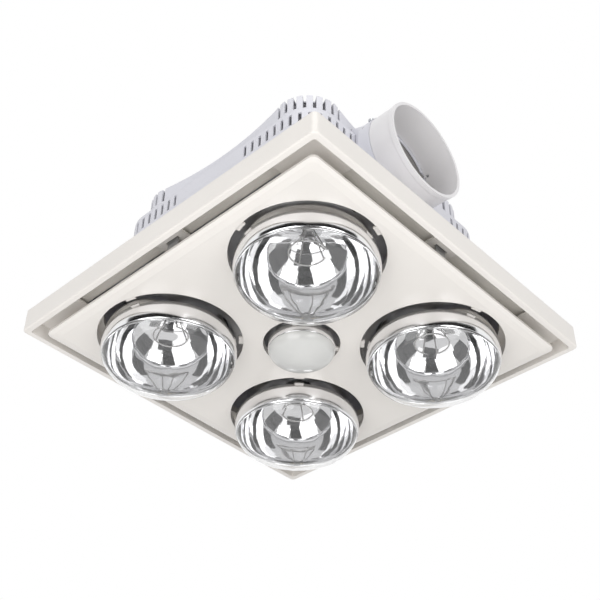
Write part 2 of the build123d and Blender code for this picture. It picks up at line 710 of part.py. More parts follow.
def collar_screw_places():
    """Radial places round the neck, with local Z pointing out along the radius."""
    y = NECK_END - COLLAR_SCREW_FROM_END
    for angle in COLLAR_SCREW_ANGLES:
        yield Pos(DUCT_X, -y, DUCT_Z) * Rot(0, 90 - angle, 0)


def outlet_duct():
    duct = outlet_form(SOCKET_CLEAR + NECK_WALL, NECK_R, NECK_END)
    duct -= outlet_form(SOCKET_CLEAR, NECK_BORE_R, NECK_SHOULDER)
    duct -= y_tube(NECK_SOCKET_R, NECK_SHOULDER, NECK_END)
    gap = FLAP_THICK / 2 + FLAP_SEAT_GAP
    clear = FLAP_BARREL_R + FLAP_STOP_CLEAR
    duct += flap_stop(FLAP_Y - gap - FLAP_STOP_THICK, 0, FLAP_PIN_Z - clear)
    duct += flap_stop(FLAP_Y + gap, FLAP_PIN_Z + clear, HOUSING_HEIGHT)
    duct -= pin_rod(FLAP_PIN_R + SHAFT_FIT, NECK_R)
    for place in collar_screw_places():
        duct -= place * disc(COLLAR_SCREW_R + SCREW_CLEAR, SPIGOT_R, NECK_R + 1)
    return duct


def pin_rod(radius, half_length):
    """Rod along X on the hinge line of the flap."""
    rod = Rot(0, 90, 0) * Cylinder(radius, 2 * half_length)
    return Pos(DUCT_X, -FLAP_Y, FLAP_PIN_Z) * rod


def duct_collar():
    """Round spigot that the hose is pushed over, its thinner end seated in the neck."""
    tail = NECK_SHOULDER + SPIGOT_FIT
    body = y_tube(COLLAR_R, NECK_END + SPIGOT_FIT, COLLAR_END)
    body += y_tube(COLLAR_R + COLLAR_BEAD, COLLAR_END - COLLAR_BEAD_LENGTH, COLLAR_END)
    body += y_tube(SPIGOT_R, tail, COLLAR_END)
    body -= y_tube(COLLAR_BORE_R, tail, COLLAR_END)
    for place in collar_screw_places():
        body -= place * disc(COLLAR_SCREW_R + PILOT_CLEAR, COLLAR_BORE_R - 1, SPIGOT_R + 0.1)
    return body


def backdraught_flap():
    """Round plate on a barrel, hung above its middle so that it falls shut."""
    plate = y_tube(FLAP_R, FLAP_Y - FLAP_THICK / 2, FLAP_Y + FLAP_THICK / 2)
    body = plate + pin_rod(FLAP_BARREL_R, FLAP_BARREL_HALF)
    return body - pin_rod(FLAP_PIN_R + HUB_FIT, FLAP_R)


def housing_screws():
    """Places of the four screws that hold the cover on the base, on the ledge."""
    at = SKIRT_HALF - COVER_SCREW_INSET
    return [(at, 0), (0, at), (-at, 0), (COVER_SCREW_SIDE, -at)]


def housing_base():
    """Lower housing: ceiling flange, wide plenum and the lower part of the upright walls."""
    shelf = PLENUM_HEIGHT - WALL
    body = slab(FLANGE_HALF, FLANGE_CORNER, -FLANGE_THICK, 0)
    body += slab(PLENUM_HALF, PLENUM_CORNER, 0, PLENUM_HEIGHT)
    body += slab(SKIRT_HALF, SKIRT_CORNER, PLENUM_HEIGHT, SEAM_HEIGHT)
    body -= slab(PLENUM_HALF - WALL, PLENUM_CORNER - WALL, -FLANGE_THICK, shelf)
    body -= slab(SKIRT_HALF - WALL, SKIRT_CORNER - WALL, shelf, SEAM_HEIGHT)
    inside = slab(SKIRT_HALF - WALL / 2, SKIRT_CORNER - WALL / 2, SEAM_HEIGHT - COVER_BOSS_DEPTH, SEAM_HEIGHT)
    for x, y in housing_screws():
        boss = disc(SCREW_BOSS_R, SEAM_HEIGHT - COVER_BOSS_DEPTH, SEAM_HEIGHT, x, y)
        web = slab_web(x, y, SEAM_HEIGHT - COVER_BOSS_DEPTH, SEAM_HEIGHT)
        body += (boss + web) & inside
        body -= disc(SCREW_R + PILOT_CLEAR, SEAM_HEIGHT - COVER_BOSS_DEPTH + 3, SEAM_HEIGHT, x, y)
    plenum = slab(PLENUM_HALF - WALL / 2, PLENUM_CORNER - WALL / 2, -FLANGE_THICK, FRAME_LUG_HEIGHT)
    for sx, sy in CORNERS:
        x, y = sx * FRAME_SCREW_AT, sy * FRAME_SCREW_AT
        body += disc(FRAME_LUG_R, -FLANGE_THICK, FRAME_LUG_HEIGHT, x, y) & plenum
        body -= disc(SCREW_R + PILOT_CLEAR, -FLANGE_THICK, FRAME_LUG_HEIGHT - 2, x, y)
        x, y = sx * SHIELD_SCREW_AT, sy * SHIELD_SCREW_AT
        body += disc(SCREW_BOSS_R, shelf, PLENUM_HEIGHT + SHIELD_BOSS_HEIGHT, x, y)
        body -= disc(SCREW_R + PILOT_CLEAR, shelf, PLENUM_HEIGHT + SHIELD_BOSS_HEIGHT - 1.5, x, y)
        x, y = sx * CEILING_HOLE_AT, sy * CEILING_HOLE_AT
        body -= disc(CEILING_HOLE_R, -FLANGE_THICK, 0, x, y)
    body -= wire_hole(SKIRT_HALF - WALL - 1, SKIRT_HALF + 1)
    grow = SOCKET_CLEAR + NECK_WALL + NECK_HOLE_CLEAR
    return body - outlet_form(grow, NECK_R + NECK_HOLE_CLEAR, NECK_END)


def slab_web(x, y, z_low, z_high):
    """Web that joins a screw boss to the nearest wall."""
    w = SCREW_BOSS_R
    if abs(x) > abs(y):
        edge = math.copysign(SKIRT_HALF, x)
        return brick(min(x, edge), max(x, edge), y - w, y + w, z_low, z_high)
    edge = math.copysign(SKIRT_HALF, y)
    return brick(x - w, x + w, min(y, edge), max(y, edge), z_low, z_high)


def wire_hole(y_near, y_far):
    """Hole for the supply wires between the terminal box and the inside."""
    z = PLENUM_HEIGHT + WIRE_HOLE_RISE
    outline = Plane.XZ.offset(-y_far) * Pos(0, z) * Circle(WIRE_HOLE_R)
    return extrude(outline, amount=y_far - y_near)


def housing_cover():
    """Upper housing: slotted skirt, ledge, and the four slotted towers with their flat top."""
    ledge = LEDGE_HEIGHT - WALL
    body = slab(SKIRT_HALF, SKIRT_CORNER, SEAM_HEIGHT, LEDGE_HEIGHT)
    body += waisted(TOWER_HALF, TOWER_CORNER, TOWER_SAG, LEDGE_HEIGHT, HOUSING_HEIGHT)
    body -= slab(SKIRT_HALF - WALL, SKIRT_CORNER - WALL, SEAM_HEIGHT, ledge)
    body -= waisted(TOWER_HALF - WALL, TOWER_CORNER - WALL, TOWER_SAG, ledge, TOP_INNER_Z)
    skirt = slab(SKIRT_HALF - WALL / 2, SKIRT_CORNER - WALL / 2, SEAM_HEIGHT, ledge)
    for x, y in housing_screws():
        body += disc(SCREW_BOSS_R, SEAM_HEIGHT, ledge, x, y) & skirt
        body -= disc(SCREW_R + SCREW_CLEAR, SEAM_HEIGHT, LEDGE_HEIGHT, x, y)
    for x, y in scroll_screws():
        body += disc(SCREW_BOSS_R, SCROLL_TOP_Z, TOP_INNER_Z, x, y)
        body -= disc(SCREW_R + SCREW_CLEAR, SCROLL_TOP_Z, HOUSING_HEIGHT, x, y)
    for place in bracket_screws():
        body -= place * disc(SCREW_R + SCREW_CLEAR, TOP_INNER_Z, HOUSING_HEIGHT)
    cuts = []
    low_top = SEAM_HEIGHT + LOW_SLOT_HEIGHT
    high_low = HOUSING_HEIGHT - HIGH_SLOT_HEIGHT
    for turn in SIDE_TURNS:
        low = corner_slots(SKIRT_HALF, SKIRT_CORNER, LOW_SLOTS, SEAM_HEIGHT - 1, low_top, WALL + 1)
        high = corner_slots(TOWER_HALF, TOWER_CORNER, HIGH_SLOTS, high_low, HOUSING_HEIGHT + 1,
                            WALL + SLOT_TOP_REACH)
        for cut in low:
            placed = Rot(0, 0, turn) * cut
            middle = placed.center()
            if middle.Y > -SKIRT_HALF + 3 or abs(middle.X) > DUCT_SIDE_SLOT_FROM:
                cuts.append(placed)
        cuts += [Rot(0, 0, turn) * cut for cut in high]
    body -= cuts
    grow = SOCKET_CLEAR + NECK_WALL + NECK_HOLE_CLEAR
    return body - outlet_form(grow, NECK_R + NECK_HOLE_CLEAR, NECK_END)


def bracket_screws():
    """Places of the two screws in the feet of each lamp bracket."""
    reach = BRACKET_LEG_AT + BRACKET_THICK + BRACKET_FOOT / 2
    return [lamp_place(sx, sy) * Pos(side * reach, 0, 0) for sx, sy in CORNERS for side in (-1, 1)]


def ring_places(radius, angles):
    """Points on a circle round the fan axis."""
    turns = [math.radians(angle) for angle in angles]
    return [(FAN_X + radius * math.cos(turn), radius * math.sin(turn)) for turn in turns]


def scroll_screws():
    """Places of the screws that hang the fan from the top of the housing."""
    return ring_places(FAN_SCREW_AT, FAN_SCREW_ANGLES)


def heat_shield():
    """Sheet that keeps the heat of the lamps off the housing, open round each lamp."""
    top = PLENUM_HEIGHT - WALL
    low = top - SHIELD_THICK
    half = PLENUM_HALF - WALL - SHIELD_CLEAR
    body = slab(half, PLENUM_CORNER - WALL - SHIELD_CLEAR, low, top)
    body -= disc(SHIELD_CENTRE_HOLE_R, low, top)
    for sx, sy in CORNERS:
        body -= disc(SHIELD_LAMP_HOLE_R, low, top, sx * LAMP_XY, sy * LAMP_XY)
        body -= disc(SCREW_R + SCREW_CLEAR, low, top, sx * SHIELD_SCREW_AT, sy * SHIELD_SCREW_AT)
    return body


def thermal_cutout():
    """Button thermostat seated on the heat shield."""
    low = PLENUM_HEIGHT - WALL
    top = low + CUTOUT_HEIGHT
    flange_r = CUTOUT_R + CUTOUT_FLANGE
    points = [(0, low), (flange_r, low), (flange_r, low + 1), (CUTOUT_R, low + 1),
              (CUTOUT_R, top - 2), (CUTOUT_R - 2, top), (0, top)]
    body = turned(points, CUTOUT_AT, 0)
    w = CUTOUT_TAB_WIDTH / 2
    t = CUTOUT_TAB_THICK / 2
    for side in (-1, 1):
        y = side * CUTOUT_TAB_AT
        body += brick(CUTOUT_AT - w, CUTOUT_AT + w, y - t, y + t, top - 1, top + CUTOUT_TAB_LENGTH)
    return body


def scroll_outline(grow):
    """Volute of three quarter turns of growing radius that runs out into the spout."""
    s = SCROLL_STEP
    r = SCROLL_START + s / 2 + grow
    x, y = FAN_X + s / 2, s / 2
    k = math.sqrt(0.5)
    left = x - s - r - 2 * s
    right = left + THROAT_WIDTH + 2 * grow
    tongue = math.sqrt(r * r - (right - x) ** 2)
    with BuildSketch(Plane.XY.offset(SCROLL_Z)) as plan:
        with BuildLine():
            first = (right, y - tongue)
            low = math.atan2(-tongue, right - x)
            middle = low / 2
            ThreePointArc(first, (x + r * math.cos(middle), y + r * math.sin(middle)), (x + r, y))
            x1, r1 = x - s, r + s
            ThreePointArc((x + r, y), (x1 + r1 * k, y + r1 * k), (x1, y + r1))
            y2, r2 = y - s, r1 + s
            ThreePointArc((x1, y + r1), (x1 - r2 * k, y2 + r2 * k), (x1 - r2, y2))
            Polyline((x1 - r2, y2), (left, -SCROLL_END), (right, -SCROLL_END), first)
        make_face()
    return plan.sketch


def scroll_case():
    """Open-topped volute of the fan with its inlet in the floor."""
    body = extrude(scroll_outline(SCROLL_WALL), amount=SCROLL_HEIGHT)
    hollow = extrude(scroll_outline(0), amount=SCROLL_HEIGHT + 1)
    body -= Pos(0, 0, SCROLL_WALL) * hollow
    lip = disc(INLET_R + SCROLL_WALL, SCROLL_Z, SCROLL_Z + SCROLL_WALL + INLET_LIP, FAN_X)
    body += lip
    body -= disc(INLET_R, SCROLL_Z, SCROLL_Z + SCROLL_WALL + INLET_LIP, FAN_X)
    for x, y in centre_screws():
        body -= disc(SCREW_R + PILOT_CLEAR, SCROLL_Z, SCROLL_Z + SCROLL_WALL, x, y)
    return body


def motor_plate():
    """Sheet that closes the volute and carries the motor."""
    low = SCROLL_Z + SCROLL_HEIGHT
    plate = extrude(scroll_outline(SCROLL_WALL), amount=MOTOR_PLATE_THICK)
    plate = Pos(0, 0, SCROLL_HEIGHT) * plate
    for x, y in scroll_screws():
        plate -= disc(SCREW_R + PILOT_CLEAR, low, low + MOTOR_PLATE_THICK, x, y)
    for x, y in motor_screws():
        plate -= disc(SCREW_R + SCREW_CLEAR, low, low + MOTOR_PLATE_THICK, x, y)
    return plate


def motor_screws():
    """Places of the three motor screws round the fan axis."""
    return ring_places(MOTOR_R - MOTOR_SCREW_INSET, MOTOR_SCREW_ANGLES)


def fan_motor():
    """Closed motor can under its plate, with the seat of the bush in its lower end."""
    high = SCROLL_Z + SCROLL_HEIGHT
    low = high - MOTOR_HEIGHT
    r = MOTOR_R
    end = high - MOTOR_END_WALL
    bore = SHAFT_R + MOTOR_SHAFT_CLEAR
    points = [(BUSH_R + SHAFT_FIT, low), (r - MOTOR_EDGE_IN, low), (r, low + MOTOR_EDGE_RISE),
              (r, high), (0, high), (0, end), (bore, end), (bore, low + BUSH_LENGTH),
              (BUSH_R + SHAFT_FIT, low + BUSH_LENGTH)]
    body = turned(points, FAN_X, 0)
    for x, y in motor_screws():
        body -= disc(SCREW_R + PILOT_CLEAR, high - MOTOR_SCREW_DEPTH, high, x, y)
    return body


def motor_bush():
    """Bearing bush of the fan shaft."""
    low = SCROLL_Z + SCROLL_HEIGHT - MOTOR_HEIGHT
    ring = disc(BUSH_R, low, low + BUSH_LENGTH, FAN_X)
    return ring - disc(SHAFT_R + SHAFT_FIT, low, low + BUSH_LENGTH, FAN_X)


def fan_shaft():
    """Shaft from inside the motor down through the hub and its nut."""
    high = SCROLL_Z + SCROLL_HEIGHT - 4
    return disc(SHAFT_R, HUB_Z - NUT_HEIGHT - 1, high, FAN_X)


def impeller():
    """Forward-curved fan wheel: dished back plate round the motor, blades and a shroud ring."""
    bore = SHAFT_R + HUB_FIT
    points = [(bore, HUB_Z), (HUB_R, HUB_Z), (HUB_R, DISH_Z), (DISH_R - DISH_THICK, DISH_Z),
              (DISH_R + DISH_THICK, WHEEL_TOP - DISH_THICK), (WHEEL_R, WHEEL_TOP - DISH_THICK),
              (WHEEL_R, WHEEL_TOP), (DISH_R, WHEEL_TOP), (DISH_R - 2 * DISH_THICK, DISH_Z + DISH_THICK),
              (bore, DISH_Z + DISH_THICK)]
    body = turned(points)
    shroud_top = WHEEL_Z + SHROUD_THICK
    body += disc(WHEEL_R, WHEEL_Z, shroud_top) - disc(WHEEL_EYE_R + SHROUD_LAP, WHEEL_Z, shroud_top)
    sweep_turn = math.radians(BLADE_SWEEP)
    out = WHEEL_R - 0.3
    tip = Vector(out * math.cos(sweep_turn), out * math.sin(sweep_turn))
    root = Vector(WHEEL_EYE_R, 0)
    along = (tip - root).normalized()
    across = Vector(along.Y, -along.X)
    middle = (root + tip) / 2 + across * BLADE_BOW
    skin = across * BLADE_THICK
    with BuildSketch(Plane.XY.offset(WHEEL_Z + SHROUD_THICK / 2)) as section:
        with BuildLine():
            ThreePointArc(root, middle, tip)
            Line(tip, tip + skin)
            ThreePointArc(tip + skin, middle + skin, root + skin)
            Line(root + skin, root)
        make_face()
    height = WHEEL_HEIGHT - SHROUD_THICK / 2 - DISH_THICK / 2
    blade = extrude(section.sketch, amount=height)
    body += [Rot(0, 0, 360 / WHEEL_BLADES * i) * blade for i in range(WHEEL_BLADES)]
    return Pos(FAN_X, 0, 0) * body


def shaft_nut():
    """Hexagon nut that holds the wheel on its shaft."""
    outline = Plane.XY.offset(HUB_Z - NUT_HEIGHT) * RegularPolygon(NUT_R, 6)
    nut = Pos(FAN_X, 0, 0) * extrude(outline, amount=NUT_HEIGHT)
    return nut - disc(SHAFT_R + HUB_FIT, HUB_Z - NUT_HEIGHT, HUB_Z, FAN_X)


def centre_bracket():
    """Hat strip that hangs the holder of the centre lamp under the fan inlet."""
    strip = hat_bracket(CENTRE_BRACKET_WIDTH, CENTRE_LEG_AT, CENTRE_HOLDER_TOP, SCROLL_Z, BRACKET_FOOT)
    return Rot(0, 0, 90) * strip


def centre_screws():
    """Places of the two screws in the feet of the centre bracket."""
    reach = CENTRE_LEG_AT + BRACKET_THICK + BRACKET_FOOT / 2
    return [(0, -reach), (0, reach)]


def terminal_box():
    """Open box on the shelf of the housing with a round hole for the cable gland."""
    y_low = SKIRT_HALF + BOX_GAP
    y_high = y_low + BOX_WIDTH
    low = PLENUM_HEIGHT
    high = low + BOX_HEIGHT
    half = BOX_LENGTH / 2
    body = brick(-half, half, y_low, y_high, low, high)
    body -= brick(-half + WALL, half - WALL, y_low + WALL, y_high - WALL, low + WALL, high)
    for side in (-1, 1):
        x = side * (half - SCREW_BOSS_R)
        body += disc(SCREW_BOSS_R - 0.5, low, high, x, (y_low + y_high) / 2)
        body -= disc(SCREW_R + PILOT_CLEAR, high - LID_HOLE_DEPTH, high, x, (y_low + y_high) / 2)
    body -= wire_hole(y_low - 1, y_low + WALL + 1)
    return body - gland_rod(GLAND_BORE_R + GLAND_WALL + GLAND_HOLE_CLEAR, y_high - WALL - 1, y_high + 1)


def gland_rod(radius, y_near, y_far):
    """Cylinder along +Y on the axis of the cable gland."""
    z = PLENUM_HEIGHT + GLAND_RISE
    outline = Plane.XZ.offset(-y_far) * Pos(GLAND_X, z) * Circle(radius)
    return extrude(outline, amount=y_far - y_near)


def cable_gland():
    """Bush for the supply cable: a flange outside the box and a nut inside it."""
    y_wall = SKIRT_HALF + BOX_GAP + BOX_WIDTH
    body = gland_rod(GLAND_R, y_wall, y_wall + GLAND_REACH)
    y_tail = y_wall - WALL - GLAND_TAIL
    body += gland_rod(GLAND_BORE_R + GLAND_WALL, y_tail, y_wall)
    body += gland_rod(GLAND_NUT_R, y_wall - WALL - GLAND_NUT_LENGTH, y_wall - WALL)
    return body - gland_rod(GLAND_BORE_R, y_tail, y_wall + GLAND_REACH)


def terminal_block():
    """Row of cable clamps on the floor of the box."""
    y = SKIRT_HALF + BOX_GAP + WALL + BLOCK_WIDTH / 2 + BLOCK_WALL_GAP
    low = PLENUM_HEIGHT + WALL
    pitch = BLOCK_LENGTH / BLOCK_POLES
    x_left = -BOX_LENGTH / 2 + WALL + 2 * SCREW_BOSS_R
    half = BLOCK_WIDTH / 2
    high = low + BLOCK_HEIGHT
    body = brick(x_left, x_left + BLOCK_LENGTH, y - half, y + half, low, low + BLOCK_BASE_HEIGHT)
    for i in range(BLOCK_POLES):
        x = x_left + pitch * (i + 0.5)
        w = (pitch - BLOCK_GROOVE) / 2
        body += brick(x - w, x + w, y - half, y + half, low, high)
        for side in (-1, 1):
            body -= disc(BLOCK_SCREW_R, high - BLOCK_SCREW_DEPTH, high, x, y + side * BLOCK_SCREW_AT)
    return body


def terminal_lid():
    """Lid of the terminal box with its rounded edge."""
    y_low = SKIRT_HALF + BOX_GAP
    half = BOX_LENGTH / 2
    low = PLENUM_HEIGHT + BOX_HEIGHT
    lid = brick(-half, half, y_low, y_low + BOX_WIDTH, low, low + BOX_LID_THICK)
    lid = fillet(lid.edges().filter_by(Axis.Z), LID_CORNER)
    for x, y in lid_screws():
        lid -= disc(SCREW_R + SCREW_CLEAR, low, low + BOX_LID_THICK, x, y)
    return lid


def lid_screws():
    """Places of the two screws of the terminal lid."""
    y = SKIRT_HALF + BOX_GAP + BOX_WIDTH / 2
    x = BOX_LENGTH / 2 - SCREW_BOSS_R
    return [(-x, y), (x, y)]


def screws_at(places, z, length):
    """Screws with their heads on top of a face."""
    return joined([Pos(x, y, z) * screw(length) for x, y in places])


def corner_screws(at, z, length):
    """Four screws driven upward, one near each corner."""
    return joined([Pos(sx * at, sy * at, z) * screw_up(length) for sx, sy in CORNERS])


def build_lamps():
    """Heat lamps with their caps, filaments, holders and brackets, then the centre lamp."""
    glass = bulb(LAMP_R, LAMP_SHOULDER_R, LAMP_BOWL_R, -LAMP_RIM_DROP, LAMP_DOME,
                 LAMP_NECK_R, LAMP_NECK_LENGTH, LAMP_TOP_Z)
    cap = lamp_cap(LAMP_TOP_Z)
    filament = lamp_filament(LAMP_TOP_Z, FILAMENT_R)
    holder = with_screw_holes(lamp_holder(LAMP_TOP_Z), LAMP_HOLDER_TOP)
    bracket = hat_bracket(BRACKET_WIDTH, BRACKET_LEG_AT, LAMP_HOLDER_TOP, TOP_INNER_Z, BRACKET_FOOT)
    for number, (sx, sy) in enumerate(CORNERS, start=1):
        place = lamp_place(sx, sy)
        save(f"heat_lamp_{number}", place * glass)
        save(f"heat_lamp_cap_{number}", place * cap)
        save(f"heat_lamp_filament_{number}", place * filament)
        save(f"lamp_holder_{number}", place * holder)
        save(f"lamp_bracket_{number}", place * bracket)
    save("centre_lamp", bulb(CENTRE_R, CENTRE_SHOULDER_R, CENTRE_BOWL_R, -CENTRE_RIM_DROP, CENTRE_DOME,
                             CENTRE_NECK_R, CENTRE_NECK_LENGTH, CENTRE_TOP_Z))
    save("centre_lamp_cap", lamp_cap(CENTRE_TOP_Z))
    centre_holder = with_screw_holes(lamp_holder(CENTRE_TOP_Z), CENTRE_HOLDER_TOP)
    save("centre_lamp_holder", Rot(0, 0, 90) * centre_holder)
    save("centre_bracket", centre_bracket())


def build_housing():
    """Frame, panel, housing, shield and terminal box."""
    save("front_frame", front_frame())
    save("front_panel", front_panel())
    save("panel_clips", joined([Rot(0, 0, turn) * panel_clip() for turn in SIDE_TURNS]))
    save("housing_base", housing_base())
    save("housing_cover", housing_cover())
    save("heat_shield", heat_shield())
    save("thermal_cutout", thermal_cutout())
    save("terminal_box", terminal_box())
    save("terminal_block", terminal_block())
    save("terminal_lid", terminal_lid())
    save("cable_gland", cable_gland())


def build_fan():
    """Exhaust fan, outlet duct, collar and flap."""
    save("scroll_case", scroll_case())
    save("motor_plate", motor_plate())
    save("fan_motor", fan_motor())
    save("motor_bush", motor_bush())
    save("fan_shaft", fan_shaft())
    save("impeller", impeller())
    save("shaft_nut", shaft_nut())
    save("outlet_duct", outlet_duct())
    save("duct_collar", duct_collar())
    save("backdraught_flap", backdraught_flap())
    save("flap_pin", pin_rod(FLAP_PIN_R, FLAP_PIN_HALF))


def build_screws():
    """Screws, grouped by what they hold."""
    seam_screw = LEDGE_HEIGHT - SEAM_HEIGHT + COVER_BOSS_DEPTH - 5
    save("cover_screws", screws_at(housing_screws(), LEDGE_HEIGHT, seam_screw))
    fan_screw = HOUSING_HEIGHT - SCROLL_TOP_Z + MOTOR_PLATE_THICK + SCREW_PAST
    save("fan_screws", screws_at(scroll_screws(), HOUSING_HEIGHT, fan_screw))
    save("motor_screws", screws_at(motor_screws(), SCROLL_TOP_Z, MOTOR_SCREW_DEPTH))
    lid_top = PLENUM_HEIGHT + BOX_HEIGHT + BOX_LID_THICK
    save("lid_screws", screws_at(lid_screws(), lid_top, LID_SCREW_LENGTH))
    top = [place * Pos(0, 0, HOUSING_HEIGHT) * screw(BRACKET_SCREW_LENGTH) for place in bracket_screws()]
    save("bracket_screws", joined(top))
    save("frame_screws", corner_screws(FRAME_SCREW_AT, FLOOR_Z, FRAME_SCREW_LENGTH))
    shield_low = PLENUM_HEIGHT - WALL - SHIELD_THICK
    save("shield_screws", corner_screws(SHIELD_SCREW_AT, shield_low, SHIELD_SCREW_LENGTH))
    holder = []
    for sx, sy in CORNERS:
        for side in (-1, 1):
            at = Pos(side * HOLDER_SCREW_AT, 0, LAMP_HOLDER_TOP + BRACKET_THICK)
            holder.append(lamp_place(sx, sy) * at * screw(HOLDER_SCREW_DEPTH))
    for side in (-1, 1):
        at = Pos(0, side * HOLDER_SCREW_AT, CENTRE_HOLDER_TOP + BRACKET_THICK)
        holder.append(at * screw(HOLDER_SCREW_DEPTH))
    save("holder_screws", joined(holder))
    centre = [Pos(x, y, SCROLL_Z - BRACKET_THICK) * screw_up(CENTRE_SCREW_LENGTH) for x, y in centre_screws()]
    save("centre_screws", joined(centre))
    collar = []
    for place in collar_screw_places():
        length = NECK_R - COLLAR_BORE_R + COLLAR_SCREW_PAST
        collar.append(place * Pos(0, 0, NECK_R) * screw(length, COLLAR_SCREW_HEAD_R, COLLAR_SCREW_R))
    save("collar_screws", joined(collar))


build_housing()
build_lamps()
build_fan()
build_screws()
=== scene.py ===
import math

import bpy
from bpy.props import (
    FloatProperty,
    FloatVectorProperty,
    IntProperty,
    PointerProperty,
)
from mathutils import Matrix, Vector


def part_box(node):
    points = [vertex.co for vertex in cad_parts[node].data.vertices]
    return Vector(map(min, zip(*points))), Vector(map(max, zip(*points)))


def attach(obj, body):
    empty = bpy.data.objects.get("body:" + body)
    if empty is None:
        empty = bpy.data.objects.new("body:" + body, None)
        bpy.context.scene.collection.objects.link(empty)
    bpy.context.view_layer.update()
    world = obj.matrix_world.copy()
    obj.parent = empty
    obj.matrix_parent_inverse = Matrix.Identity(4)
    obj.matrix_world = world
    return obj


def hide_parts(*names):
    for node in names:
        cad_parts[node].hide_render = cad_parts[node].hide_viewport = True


bl_info = {
    "name": "Ceiling heat lamp",
    "version": (1, 0, 0),
    "blender": (4, 5, 0),
    "location": "3D View > Sidebar > Heat lamp",
    "description": "Finishes, lamps, studio and camera of a ceiling heat lamp with an exhaust fan",
    "category": "Object",
}

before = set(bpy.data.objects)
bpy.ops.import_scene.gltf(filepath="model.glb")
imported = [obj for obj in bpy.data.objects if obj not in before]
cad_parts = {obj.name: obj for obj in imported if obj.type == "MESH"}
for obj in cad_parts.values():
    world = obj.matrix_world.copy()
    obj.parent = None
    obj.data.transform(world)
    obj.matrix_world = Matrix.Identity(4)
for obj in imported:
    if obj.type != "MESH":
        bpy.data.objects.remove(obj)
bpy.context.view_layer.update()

# Lengths are metres, as in the frame.
TINY = 1e-6
THROAT_RADIUS = 0.0128
LAMP_NUMBERS = range(1, 5)
CENTRE_LAMP_SIZES = {
    "dome": 0.017,
    "shoulder": 0.012,
    "bowl": 0.050,
    "neck": 0.0155,
    "neck_length": 0.010,
    "coat_edge": 0.0035,
}
# Below this level the housing base is painted paler, as painted light for the light falling through
# the air slots onto the flange; the fade is half the width of the blend.
FLANGE_LEVEL = 0.0005
FLANGE_FADE = 0.0005

# Kinds of socket of the shader node groups.
FLOAT = "NodeSocketFloat"
COLOUR = "NodeSocketColor"

# Share of the colour in its darker clouds, and depth of the bump, by kind of surface.
MOULDED_SHADE = 0.94
MOULDED_DEPTH = 0.00003
METAL_SHADE = 0.82
METAL_DEPTH = 0.00002
METAL_EDGE = 0.0003
SILVER_SHADE = 0.9
PEARL_SHADE = 0.92
PEARL_DEPTH = 0.00002
PEARL_SCATTER = (0.004, 0.004, 0.004)
GLASS_RIPPLE_DEPTH = 0.0006

# Studio round the unit.
MIDDLE = (0, 0, 0)
FLOOR_HALF = 4.0
FLOOR_LEVEL = -1.15
FLOOR_COLOUR = (0.86, 0.86, 0.86, 1)
FLOOR_SECOND = (0.84, 0.84, 0.84, 1)
ROOM_COLOUR = (0.53, 0.53, 0.535, 1)
BACKGROUND_COLOUR = (1, 1, 1, 1)
HORIZON_TURNS = (-188, -162, -136, -110, -84)
HORIZON_REACH = 1.45
HORIZON_LEVEL = 0.15
HORIZON_SIZE = (0.68, 0.82)

# Camera, solved from the corners of the square front.
SENSOR_WIDTH = 36.0
LENS = 65.70
CAMERA_PLACE = (-0.5937, -0.5556, -0.6416)
CAMERA_RIGHT = (0.68001, -0.73315, 0.00850)
CAMERA_UP = (-0.46939, -0.42641, 0.77321)


class HeatLampFinish(bpy.types.PropertyGroup):
    """Colours and surface qualities of the unit."""

    ivory: FloatVectorProperty(
        name="Front colour", description="Warm ivory of the frame and the panel",
        subtype="COLOR", size=3, min=0, max=1, default=(0.85, 0.815, 0.77))
    housing: FloatVectorProperty(
        name="Housing colour", description="Cool white of the housing and the duct",
        subtype="COLOR", size=3, min=0, max=1, default=(0.76, 0.76, 0.81))
    # The flange colour is paler than the housing and the frame. Its ivory tone is the flange's own
    # colour, and its paleness is painted light for light falling into the air slots.
    flange: FloatVectorProperty(
        name="Flange colour", description="Ivory of the ceiling flange behind the air slots, painted paler for the light falling there",
        subtype="COLOR", size=3, min=0, max=1, default=(0.93, 0.90, 0.84))
    collar: FloatVectorProperty(
        name="Collar colour", description="White of the round collar of the outlet",
        subtype="COLOR", size=3, min=0, max=1, default=(0.84, 0.825, 0.83))
    silver: FloatVectorProperty(
        name="Silvering", description="Colour of the reflecting coat inside the lamps",
        subtype="COLOR", size=3, min=0, max=1, default=(0.90, 0.90, 0.91))
    pearl: FloatVectorProperty(
        name="Centre lamp colour", description="Pearl white of the centre lamp",
        subtype="COLOR", size=3, min=0, max=1, default=(0.69, 0.69, 0.67))
    grain: FloatProperty(
        name="Grain size", description="Distance between the bumps of the moulded grain",
        subtype="DISTANCE", unit="LENGTH", min=0.0001, max=0.01, default=0.0009)
    edge: FloatProperty(
        name="Edge radius", description="Softening of the moulded edges",
        subtype="DISTANCE", unit="LENGTH", min=0, max=0.002, default=0.0005)


class ReflectorForm(bpy.types.PropertyGroup):
    """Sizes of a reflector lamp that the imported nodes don't give; the defaults are a heat lamp's."""

    dome: FloatProperty(
        name="Dome", description="Depth of the lamp's front below its widest ring",
        subtype="DISTANCE", unit="LENGTH", default=0.0305)
    shoulder: FloatProperty(
        name="Shoulder", description="Radius of the rounding between the widest ring and the front",
        subtype="DISTANCE", unit="LENGTH", default=0.0215)
    bowl: FloatProperty(
        name="Bowl", description="Radius of the arc that rises from the widest ring",
        subtype="DISTANCE", unit="LENGTH", default=0.060)
    neck: FloatProperty(
        name="Neck", description="Radius of the neck",
        subtype="DISTANCE", unit="LENGTH", default=0.018)
    neck_length: FloatProperty(
        name="Neck length", description="Length of the neck with its taper to the cap",
        subtype="DISTANCE", unit="LENGTH", default=0.030)
    coat_edge: FloatProperty(
        name="Coat edge", description="How far the silvering reaches below the widest ring",
        subtype="DISTANCE", unit="LENGTH", default=0.0080)
    glass: FloatProperty(
        name="Glass", description="Thickness of the lamp glass",
        subtype="DISTANCE", unit="LENGTH", default=0.0012)
    segments: IntProperty(
        name="Segments", description="Divisions round the lamp", min=24, max=256, default=128)


